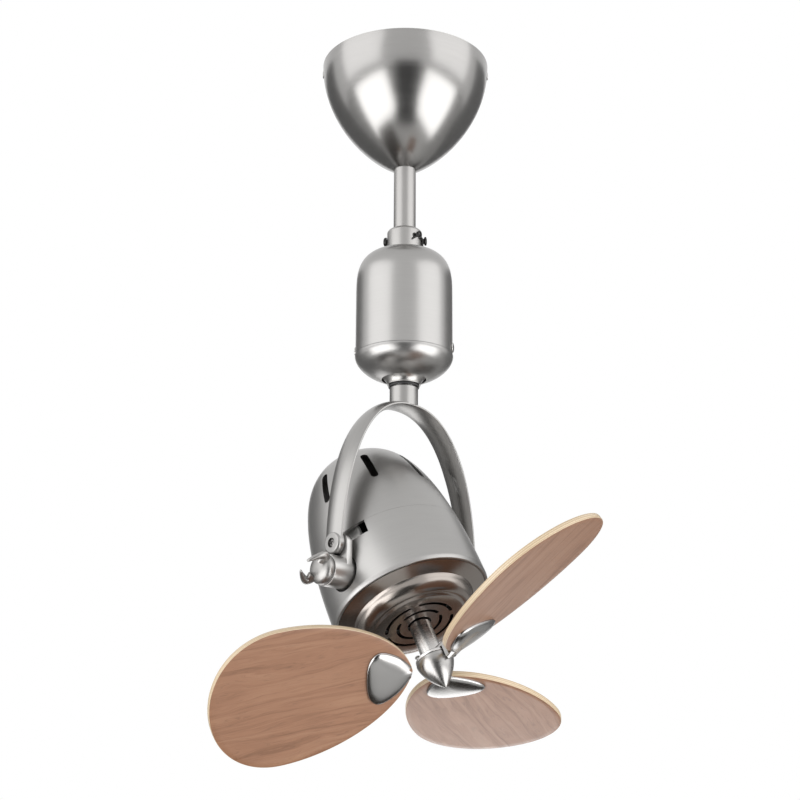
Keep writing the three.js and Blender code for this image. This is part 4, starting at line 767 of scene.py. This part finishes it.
def arc(centre, radius, start, end, steps=10):
    turns = [radians(start + (end - start) * i / steps) for i in range(steps + 1)]
    return [(centre[0] + radius * cos(turn), centre[1] + radius * sin(turn)) for turn in turns]


UPRIGHT = Matrix(((0, 0, 1, 0), (0, 1, 0, 0), (-1, 0, 0, 0), (0, 0, 0, 1)))  # z to x, x to -z


def upright_tab(foot, rise, half, corner):
    """The outline of a tab that stands from foot to rise and has two round corners."""
    line = arc((corner - rise, corner - half), corner, 270, 180)
    line += arc((corner - rise, half - corner), corner, 180, 90)
    return ([(-foot, -half)] + line + [(-foot, half)])[::-1]


ear_outline = upright_tab(0, rise=32.0, half=BARREL_RADIUS - 0.9, corner=7.0)
pivot_nickel = line_brushed_nickel("pivot_nickel", (0.48, 0.471, 0.46), 0.34, ARM_LINES, 4.0)
dark_steel = mottled("dark_steel", (0.16, 0.155, 0.15), 0.25, 1.0, 120.0, 0.15)
black_fibre = mottled("black_fibre", (0.022, 0.021, 0.02), 0.7, 0.0, 200.0, 0.2, 0.4)
pad_end = foot_x - FOOT_THICKNESS / 2 - 0.1
head_low = foot_x + FOOT_THICKNESS / 2 - 2.1
for side, turn in (("right", 0), ("left", 180)):
    place = AT_PIVOT @ about_z(turn)
    at_foot = place @ raised(FOOT_RISE) @ ALONG_X
    barrel_line = eased(band(0, BARREL_RADIUS, BARREL_INNER, BARREL_OUTER), 0.6)
    barrel = spun(f"pivot_barrel_{side}", barrel_line, 96, place @ ALONG_X)
    ear = solid("ear", pressed(ear_outline, EAR_INNER, EAR_OUTER, 0.5), place @ UPRIGHT)
    pad = plug(7.5, EAR_INNER + 1, pad_end, 64, at_foot)
    merged(barrel, ear, pad)
    cut_away(barrel, plug(BOLT_HOLE, 60, 99, 48, place @ ALONG_X), plug(SCREW_HOLE, 70, 90, 32, at_foot))
    fitted(barrel, "turning_arm", pivot_nickel, "brushed_nickel", f"pivot_bracket_{side}")
    washer_line = eased(band(BOLT_HOLE, WASHER_RADIUS, 64.7, 66.7), 0.4)
    washer = spun(f"fibre_washer_{side}", washer_line, 96, place @ ALONG_X)
    fitted(washer, "turning_arm", black_fibre, "black_nylon", f"friction_disc_{side}")
    screw = cross_screw(f"foot_cross_screw_{side}", screw_profile(2, 4, 73.4, head_low, 2.0), 48,
                        at_foot, head_low + 1.0, 0.9, 5.2, first_turn=0.5, depth=3.0)
    fitted(screw, "turning_arm", dark_steel, "black_steel", f"foot_screw_{side}")
dress(zinc_plate, "pivot_bolt_right", "pivot_bolt_left")

CAP_RADIUS = 11
cap_profile = [(0, 92.8), (CAP_RADIUS, 92.8), (CAP_RADIUS, 96.2)]
cap_profile += [(CAP_RADIUS * cos(spin), 96.5 + 8 * sin(spin)) for spin in quarter(12)]
cap_nut = spun("pivot_domed_nut", cap_profile, 72, AT_PIVOT @ ALONG_X)
cut_away(cap_nut, plug(BOLT_HOLE, 92, 101, 40, AT_PIVOT @ ALONG_X))
fitted(cap_nut, "motor_head", bright_nickel, "polished_nickel", "pivot_cap_nut")

# ---- Wing nut ----
# A cast nut on the left bolt, with a domed hub and two horns that curl in at their
# tips. It is barrel polished and plated, and clamps the head's tilt.
WING_TURN = -130
WING_HUB_RADIUS = 13.4
wing_start = BARREL_OUTER + 0.3
hub_line = [(0, wing_start), (WING_HUB_RADIUS - 0.3, wing_start), (WING_HUB_RADIUS, wing_start + 0.4),
            (WING_HUB_RADIUS, wing_start + 3.2)]
hub_line += [(WING_HUB_RADIUS * cos(spin) ** 0.85, wing_start + 3.2 + 6.4 * sin(spin))
             for spin in quarter(12, first=1)]
HORN_PATH = ((7.3, 8.0), (8.2, 12.3), (10.4, 14.4), (14.0, 13.2), (18.0, 10.2), (21.0, 7.6), (23.2, 5.0))


def smooth(p0, p1, p2, p3, u):
    """A point between p1 and p2 on the smooth curve that runs through all four."""
    return 0.5 * (2 * p1 + (p2 - p0) * u + (2 * p0 - 5 * p1 + 4 * p2 - p3) * u * u
                  + (3 * p1 - p0 - 3 * p2 + p3) * u ** 3)


def horn_rings(steps=30, around=20):
    path = [Vector((wing_start + out, 0, up)) for out, up in HORN_PATH]
    rings = []
    for k in range(steps + 1):
        t = k / steps * (len(path) - 1)
        i = min(int(t), len(path) - 2)
        u = t - i
        p0, p1, p2, p3 = path[max(i - 1, 0)], path[i], path[i + 1], path[min(i + 2, len(path) - 1)]
        centre = smooth(p0, p1, p2, p3, u)
        along = (0.5 * ((p2 - p0) + 2 * (2 * p0 - 5 * p1 + 4 * p2 - p3) * u
                        + 3 * (3 * p1 - p0 - 3 * p2 + p3) * u * u)).normalized()
        outward = Vector((-along.z, 0, along.x))
        share = k / steps
        blunt = max(1 - max((share - 0.9) / 0.1, 0) ** 2, 0.03) ** 0.5
        thick = (0.7 + 5.2 * (1 - share) ** 1.1) * blunt
        broad = 3.5 * (1 - 0.6 * share) * blunt
        rings.append([centre + outward * thick * cos(spin) + Vector((0, broad * sin(spin), 0))
                      for spin in (-2 * pi * n / around for n in range(around))])
    return rings


nut_place = AT_PIVOT @ Matrix.Rotation(radians(WING_TURN), 4, "X") @ about_z(180)
wing_nut = spun("wing_nut_cast", hub_line, 72, nut_place @ ALONG_X)
merged(wing_nut, *[solid("horn", lofted(horn_rings()), nut_place @ Matrix.Rotation(turn, 4, "X"))
                   for turn in (0, pi)])
cut_away(wing_nut, plug(BOLT_HOLE, 90, wing_start + 8.6, 40, nut_place @ ALONG_X))
nut_nickel = polished_nickel_plate("nut_nickel", (0.36, 0.352, 0.342), 0.38)
fitted(wing_nut, "wing_nut", nut_nickel, "polished_nickel", "wing_nut", crease=50)

# ---- Head shells ----
# The motor's egg-shaped housing: a vented dome lapped into a skirt, both spun from
# steel sheet and brushed. The skirt has a pivot hole and a window at each side.
HEAD_LEAN = 29.2
HEAD = AT_PIVOT @ Matrix.Rotation(radians(-HEAD_LEAN), 4, "X")
HEAD_SIDES = [HEAD @ about_z(turn) for turn in (0, 180)]
SHELL_RADIUS = 71.97
SHELL_TOP = 139.1
EGG_TAPER = 0.606       # powers of the egg's outline, across and along its axis
EGG_SWELL = 0.8734
SHEET = 1.6
WIDEST = -23.7
RIM = -25.7
SEAM_RISE = 34.4
head_nickel = lathe_brushed_nickel("head_nickel", (0.39, 0.383, 0.374), 0.34, lines=700)


def egg_line(low, high, offset, steps):
    """The egg's outline moved inwards, from low to high, or to its top."""
    tall = SHELL_TOP - WIDEST - offset
    first = asin(max((low - WIDEST) / tall, 0) ** (1 / EGG_SWELL))
    last = pi / 2 if high is None else asin(((high - WIDEST) / tall) ** (1 / EGG_SWELL))
    turns = [first + (last - first) * i / steps for i in range(steps + 1)]
    return [((SHELL_RADIUS - offset) * cos(turn) ** EGG_TAPER, WIDEST + tall * sin(turn) ** EGG_SWELL)
            for turn in turns]


dome_outside = egg_line(SEAM_RISE + 0.1, None, 0, 70)
dome_inside = egg_line(SEAM_RISE + 6, None, SHEET, 60)
lap_outside = egg_line(SEAM_RISE - 6, SEAM_RISE + 0.02, 1.9, 4)
lap_inside = egg_line(SEAM_RISE - 6, SEAM_RISE, 2 * SHEET, 4)
dome_profile = dome_outside + dome_inside[::-1] + lap_inside[::-1] + lap_outside
dome = spun("head_vented_dome", dome_profile, 220, HEAD)
VENTS = 8
FIRST_VENT = 6.5
VENT_WIDTH = 7.0
VENT_LOW = 77
VENT_HIGH = 113
vent_half = (VENT_HIGH - VENT_LOW - VENT_WIDTH) / 2
vent_outline = arc((vent_half, 0), VENT_WIDTH / 2, -90, 90, 12)
vent_outline += arc((-vent_half, 0), VENT_WIDTH / 2, 90, 270, 12)
dome_cutters = []
for k in range(VENTS):
    place = HEAD @ about_z(FIRST_VENT + 360 * k / VENTS) @ raised((VENT_LOW + VENT_HIGH) / 2) @ UPRIGHT
    dome_cutters.append(solid("vent", pressed(vent_outline, 25, 78, 0.01), place))
WINDOW_HALF_ANGLE = 30
window_wedge = arc((0, 0), 80, -WINDOW_HALF_ANGLE, WINDOW_HALF_ANGLE, 12)
window_wedge += arc((0, 0), 40, WINDOW_HALF_ANGLE, -WINDOW_HALF_ANGLE, 12)
for side in HEAD_SIDES:
    dome_cutters.append(solid("window", pressed(window_wedge, SEAM_RISE - 7, SEAM_RISE - 0.1, 0.01), side))
cut_away(dome, *dome_cutters)
fitted(dome, "motor_head", head_nickel, "brushed_nickel", "head_shell_upper")

PIVOT_HOLE_RADIUS = 16.2
WINDOW_DROP = 13
skirt_outside = [(70.5, RIM - 0.4), (71.1, RIM + 0.1), (71.2, RIM + 0.9)]
skirt_outside += egg_line(WIDEST + 0.6, SEAM_RISE, 0, 40)
skirt_inside = [(69.1, RIM - 0.3), (69.0, RIM + 0.3)] + egg_line(WIDEST + 0.6, SEAM_RISE, SHEET, 40)
skirt = spun("head_skirt", skirt_outside + skirt_inside[::-1], 220, HEAD)
skirt_cutters = []
for side in HEAD_SIDES:
    skirt_cutters.append(plug(PIVOT_HOLE_RADIUS, 55, 78, 96, side @ ALONG_X))
    window = pressed(window_wedge, SEAM_RISE - WINDOW_DROP, SEAM_RISE + 4, 0.01)
    skirt_cutters.append(solid("window", window, side))
cut_away(skirt, *skirt_cutters)
fitted(skirt, "motor_head", head_nickel, "brushed_nickel", "head_shell_lower")

# ---- Motor ----
# A cast carrier with a post to each pivot, and on its ring the motor: laminations and
# windings between two end bells, each with a ball bearing. The end bells' near black is
# painted shade behind the vents, and the carrier's pale grey is partly painted light.
CARRIER_TOP = RIM + 9
POST_FACE = 60.4
ring_line = eased(band(44, 68.7, CARRIER_TOP - 3, CARRIER_TOP), 0.5)
carrier = spun("motor_cast_carrier", ring_line, 140, HEAD)
post_outline = upright_tab(CARRIER_TOP - 1, rise=47, half=25, corner=14)
boss_line = eased(band(0, 14, POST_FACE - 1, 64.4), 0.5)
posts = []
for side in HEAD_SIDES:
    posts.append(solid("post", pressed(post_outline, POST_FACE - 4, POST_FACE, 0.6), side @ UPRIGHT))
    posts.append(spun("boss", boss_line, 64, side @ ALONG_X))
merged(carrier, *posts)
cut_away(carrier, *[plug(BOLT_HOLE, 50, 70, 32, side @ ALONG_X) for side in HEAD_SIDES])
# The carrier's grey is its cast aluminium, painted lighter than that: painted light on the posts, which sit
# in shade inside the head.
carrier_grey_painted_light = mottled("carrier_grey_painted_light", (0.80, 0.79, 0.77), 0.42, 0.7, 80.0, 0.08, 0.2)
fitted(carrier, "motor_head", carrier_grey_painted_light, "cast_aluminium", "motor_carrier")
laminated = mottled("laminated_iron", (0.10, 0.105, 0.115), 0.45, 0.7, 200.0, 0.25)
# Painted shade: the end bells are near black, so that with the upper bell filling the dome the vents and
# windows show dark inside the head.
painted_shade_casting = mottled("painted_shade_casting", (0.035, 0.035, 0.036), 0.6, 0.3, 140.0, 0.2, 0.3)
dress(laminated, "motor_stator", "motor_rotor")
dress(painted_shade_casting, "motor_end_bell_upper", "motor_end_bell_lower")
dress(ground_steel, "motor_bearing_upper", "motor_bearing_lower", "motor_shaft")
dress(black_oxide, "hub_grub_screw")

# ---- Bottom cover ----
# A pressed pan under the motor: a narrow ledge inside the rim, a drum with a broad
# rounded shoulder, and a flat face with two rings of slots. It is plated bright.
FACE_RADIUS = 43.5
FACE_DROP = -43.6
FACE_CENTRE = 11        # the opening for the hub
SHOULDER_REACH = 11.0   # how far the drum stands out beyond its face
LIP_RADIUS = 67.0
SLOT_HALF = 1.5
cover_line = [(68.6, RIM + 5.7), (68.6, RIM - 0.2), (67.6, RIM - 0.9), (57.4, RIM - 3.4), (55.6, RIM - 4.2),
              (54.9, RIM - 5.6)]
for spin in quarter(16, first=1):
    cover_line.append((FACE_RADIUS + SHOULDER_REACH * cos(spin) ** 0.9,
                       RIM - 6.0 - 10.6 * sin(spin) ** 1.1))
cover_line += [(42.2, FACE_DROP + 0.6), (40.8, FACE_DROP), (FACE_CENTRE, FACE_DROP)]
cover_back = [(min(r - 1.2 if r > 45 else r, LIP_RADIUS), z + 1.6) for r, z in cover_line[::-1]]
cover_back[-1] = (LIP_RADIUS, RIM + 5.7)
cover = spun("bottom_cover_pan", cover_line + cover_back, 220, HEAD)
slot_cutters = []
for count, radius, span in ((4, 30.2, 72), (3, 19.9, 98)):
    for k in range(count):
        start = -3 + 360 * k / count - span / 2
        end = -3 + 360 * k / count + span / 2
        start_centre, end_centre = arc((0, 0), radius, start, end, 1)
        slot = arc((0, 0), radius + SLOT_HALF, start, end, 30)
        slot += arc(end_centre, SLOT_HALF, end, end + 180, 8)[1:-1]
        slot += arc((0, 0), radius - SLOT_HALF, end, start, 30)
        slot += arc(start_centre, SLOT_HALF, start - 180, start, 8)[1:-1]
        slot_cutters.append(solid("slot", pressed(slot, FACE_DROP - 3, FACE_DROP + 5, 0.01), HEAD))
cut_away(cover, *slot_cutters)
# Painted reflection: the cover's nickel is darker and browner than the other nickel, standing in for the
# dark, warm things it mirrors below.
cover_nickel_painted_reflection = lathe_brushed_nickel("cover_nickel_painted_reflection", (0.32, 0.288, 0.264), 0.25, lines=600)
fitted(cover, "motor_head", cover_nickel_painted_reflection, "polished_nickel", "bottom_cover")

# ---- Hub and spinner ----
# A turned hub on the motor's shaft with a black set screw and a flange for the blade
# irons, and below it a bullet-shaped spinner. Both are polished nickel.
ROTOR_TURN = 28.6
ROTOR = HEAD @ about_z(ROTOR_TURN)
HUB_RADIUS = 9.7
FLANGE_EDGE = 16.4
SHAFT_HOLE = 4.3
FLANGE_TOP = -79.5
FLANGE_LOW = -82.3
hub_top = FACE_DROP - 0.8
hub_profile = eased([(0, FLANGE_LOW), (FLANGE_EDGE, FLANGE_LOW), (FLANGE_EDGE, FLANGE_TOP),
                     (HUB_RADIUS, FLANGE_TOP), (HUB_RADIUS, hub_top), (0, hub_top)], 0.5)
hub = spun("rotor_turned_hub", hub_profile, 96, ROTOR)
hub_screw_place = ROTOR @ about_z(60) @ raised(-48.6) @ ALONG_X
shaft_bore = plug(SHAFT_HOLE, FLANGE_LOW + 5.7, hub_top + 2, 48, ROTOR)
cut_away(hub, shaft_bore, plug(2.7, 4, 12, 32, hub_screw_place))
hub_nickel = lathe_brushed_nickel("hub_nickel", (0.66, 0.645, 0.63), 0.26, lines=900)
fitted(hub, "blade_rotor", hub_nickel, "polished_nickel", "rotor_hub")

SPINNER_RADIUS = 16.8
SPINNER_LENGTH = 27.4
spinner_high = FLANGE_LOW - 0.9
spinner_profile = [(0, FLANGE_LOW - 0.3), (SPINNER_RADIUS - 0.6, FLANGE_LOW - 0.3)]
spinner_profile += [(SPINNER_RADIUS * max(1 - t ** 1.5, 0) ** 0.85, spinner_high - SPINNER_LENGTH * t)
                    for t in map(sin, quarter(40))]
spinner = spun("spinner_turned", spinner_profile, 120, ROTOR)
spinner_nickel = lathe_brushed_nickel("spinner_nickel", (0.37, 0.36, 0.35), 0.28, lines=900)
fitted(spinner, "blade_rotor", spinner_nickel, "polished_nickel", "spinner")

# ---- Blades ----
# Three plywood paddles, stained warm brown on both faces under clear lacquer, with
# the pale plies left bare round the edge. The grain runs along each blade.
BLADE_DROP = -85.9
BLADE_PITCH = 20.7
BLADE_THICKNESS = 5.0
BLADE_ROOT = 22.3
BLADE_TIP = 203
BLADE_HALF = 69.5


def bezier(a, b, c, d, steps):
    return [tuple(Vector(a) * (1 - t) ** 3 + Vector(b) * 3 * t * (1 - t) ** 2
                  + Vector(c) * 3 * t * t * (1 - t) + Vector(d) * t ** 3)
            for t in (k / steps for k in range(steps))]


def paddle_outline():
    half = (bezier((BLADE_ROOT, 0), (30, -38), (85, -BLADE_HALF), (140, -BLADE_HALF), 60)
            + bezier((140, -BLADE_HALF), (178, -BLADE_HALF), (BLADE_TIP, -38), (BLADE_TIP, 0), 50))
    return half + [(BLADE_TIP, 0)] + [(x, -y) for x, y in half[1:]][::-1]


def filled_plate(outline, middle, low, high, edge, rings=14):
    """A flat plate whose two faces are skinned by rings of the outline drawn to a middle."""
    centre = Vector(middle)

    def drawn(ring, scale=1.0):
        return [(*(centre + (Vector(point[:2]) - centre) * scale), point[2]) for point in ring]

    layers = plate_rings(outline, low, high, edge)
    scales = [1 - k / rings for k in range(1, rings)]
    return lofted([drawn(layers[0], scale) for scale in scales[::-1]] + [drawn(layer) for layer in layers]
                  + [drawn(layers[-1], scale) for scale in scales])


def stained_ply(name, seed):
    """Brown stained face veneer with long grain, and pale bare plies on the edge."""
    wood, tree, shader, where = blank_finish(name)
    shift = node(tree, "VectorMath", {"operation": "ADD"}, Vector=where)
    shift.inputs[1].default_value = (seed * 0.37, seed * 0.23, 0)
    drift = node(tree, "TexNoise", Vector=stretched(tree, shift.outputs[0], (3.0, 22.0, 0.0)),
                 Scale=1.6, Detail=4.0, Roughness=0.55)
    bend = stretched(tree, drift.outputs["Color"], (0.0, 0.05, 0.0))
    bent = sum_of(tree, "ADD", shift.outputs[0], bend, kind="VectorMath")
    grain = noise(tree, stretched(tree, bent, (6.0, 130.0, 0.0)), 1.0, 5.0, Roughness=0.62)
    pores = noise(tree, stretched(tree, bent, (45.0, 1500.0, 0.0)), 1.0, 2.0)
    stain = node(tree, "ValToRGB", Fac=grain)
    stops = stain.color_ramp.elements
    stops[0].position = 0.30
    stops[0].color = (0.215, 0.102, 0.054, 1)
    stops[1].position = 0.72
    stops[1].color = (0.385, 0.208, 0.122, 1)
    stops.new(0.50).color = (0.325, 0.162, 0.092, 1)
    veneer = shaded(tree, stain.outputs[0], spread(tree, pores, 0.80, 1.0, 0.30, 0.46))
    ply_band = node(tree, "TexWave", {"bands_direction": "Z"}, Vector=where, Scale=190.0, Distortion=0.4)
    plies = node(tree, "ValToRGB", Fac=ply_band.outputs["Fac"])
    plies.color_ramp.elements[0].color = (0.56, 0.41, 0.25, 1)
    plies.color_ramp.elements[1].color = (0.76, 0.63, 0.45, 1)
    away = sum_of(tree, "ABSOLUTE", node(tree, "SeparateXYZ", Vector=where).outputs["Z"])
    face = BLADE_THICKNESS / 2 * MM
    colour = node(tree, "Mix", {"data_type": "RGBA"})
    for place, socket in ((0, spread(tree, away, 0.0, 1.0, face - 0.00018, face - 0.00008)),
                          (6, plies.outputs[0]), (7, veneer)):
        tree.links.new(socket, colour.inputs[place])
    feed(tree, shader, Base_Color=colour.outputs[2], Roughness=spread(tree, grain, 0.46, 0.36),
         Normal=lifted(tree, pores, 0.12, 0.0003), Coat_Weight=0.35, Coat_Roughness=0.25)
    return wood


blade_half = BLADE_THICKNESS / 2
blade_places = []
for k in range(3):
    station = ROTOR @ about_z(120 * k) @ raised(BLADE_DROP)
    pitched = station @ Matrix.Rotation(radians(BLADE_PITCH), 4, "X")
    blade_places.append((station, pitched))
    paddle = filled_plate(paddle_outline(), (118, 0), -blade_half, blade_half, 0.7)
    blade = solid(f"blade_paddle_{k + 1}", paddle, pitched)
    ply = stained_ply(f"stained_ply_{k + 1}", 1 + 3 * k)
    fitted(blade, "blade_rotor", ply, "maple_ply", f"blade_{k + 1}")

# ---- Blade irons ----
# Cast petals under the blades, pillowed and polished. Each has an upright neck beside
# the spinner, a tongue screwed down on the hub's flange and a plate over the blade.
PETAL_POINTS = [(21.0, 0), (24.2, -5.2), (28.9, -11.4), (35.4, -18.3), (44.5, -24.3), (52.5, -26.9),
                (58.0, -25.0), (62.2, -19.4), (64.5, -11.0), (65.2, 0)]


def smooth_outline(points, per=8):
    """A closed outline through points given for one side, mirrored in the x axis."""
    full = points + [(x, -y) for x, y in points[-2:0:-1]]
    made = []
    for i in range(len(full)):
        near = [Vector(full[(i + n) % len(full)]) for n in (-1, 0, 1, 2)]
        made += [tuple(smooth(*near, k / per)) for k in range(per)]
    return made


def pillow(outline, middle, face, rise, rings=22):
    """A domed cushion of metal on a flat face, hanging below it by rise."""
    centre = Vector(middle)

    def drawn(share, height):
        return [(*(centre + (Vector(point) - centre) * share), height) for point in outline]

    layers = []
    for k in range(1, rings + 1):
        share = sin(pi / 2 * k / rings)
        layers.append(drawn(share, face - rise * (1 - share ** 2.6) ** (1 / 2.2) - 0.5))
    return lofted(layers + [[(*point, face) for point in outline], drawn(0.5, face)])


petal_outline = smooth_outline(PETAL_POINTS)
petal_nickel = polished_nickel_plate("petal_nickel", (0.42, 0.412, 0.405), 0.22)
CLAMP_SCREWS = ((53.5, 15.1), (53.5, -15.1), (38.5, 0.0))
SPIDER_OUTLINE = ((51, -20), (57, -20), (59.5, -16), (59.5, 16), (57, 20), (51, 20), (32.5, 3), (32.5, -3))
SPIDER_THICKNESS = 2
TONGUE_THICKNESS = 3
TONGUE_HALF = 5
NECK_INNER = 17.4
NECK_OUTER = 21.2
iron_face = -blade_half - 0.05
tongue_low = FLANGE_TOP + 0.3
tongue_high = tongue_low + TONGUE_THICKNESS - BLADE_DROP
spider_low = blade_half + 0.1
for k, (station, pitched) in enumerate(blade_places):
    petal = solid(f"blade_iron_petal_{k + 1}", pillow(petal_outline, (45, 0), iron_face, 4.8), pitched)
    welds = [solid("weld", pressed(band(inner, outer, -TONGUE_HALF, TONGUE_HALF), low, high, edge), place)
             for inner, outer, low, high, edge, place in (
                 (NECK_INNER, NECK_OUTER, iron_face - 2.6, tongue_high, 0.5, station),
                 (10.3, NECK_OUTER, tongue_low - BLADE_DROP, tongue_high, 0.5, station),
                 (NECK_INNER, 27.5, iron_face - 3.4, iron_face, 0.4, pitched))]
    merged(petal, *welds)
    fitted(petal, "blade_rotor", petal_nickel, "polished_nickel", f"blade_iron_{k + 1}", crease=40)
    tongue_screw_line = screw_profile(1.4, 2.5, -82, tongue_low + TONGUE_THICKNESS + 0.05, 1.6)
    tongue_place = station @ moved(13.4, 0, -BLADE_DROP)
    tongue_screw = spun(f"tongue_screw_{k + 1}", tongue_screw_line, 32, tongue_place)
    fitted(tongue_screw, "blade_rotor", petal_nickel, "polished_nickel")
    spider = solid(f"blade_screw_spider_{k + 1}",
                   pressed(SPIDER_OUTLINE, spider_low, spider_low + SPIDER_THICKNESS, 0.4), pitched)
    clamp_line = screw_profile(2, 3.8, iron_face - 1.2, spider_low + SPIDER_THICKNESS, 2.0)
    merged(spider, *[spun("screw", clamp_line, 32, pitched @ moved(x, y, 0)) for x, y in CLAMP_SCREWS])
    fitted(spider, "blade_rotor", zinc_plate, "zinc_steel", f"blade_screw_plate_{k + 1}")
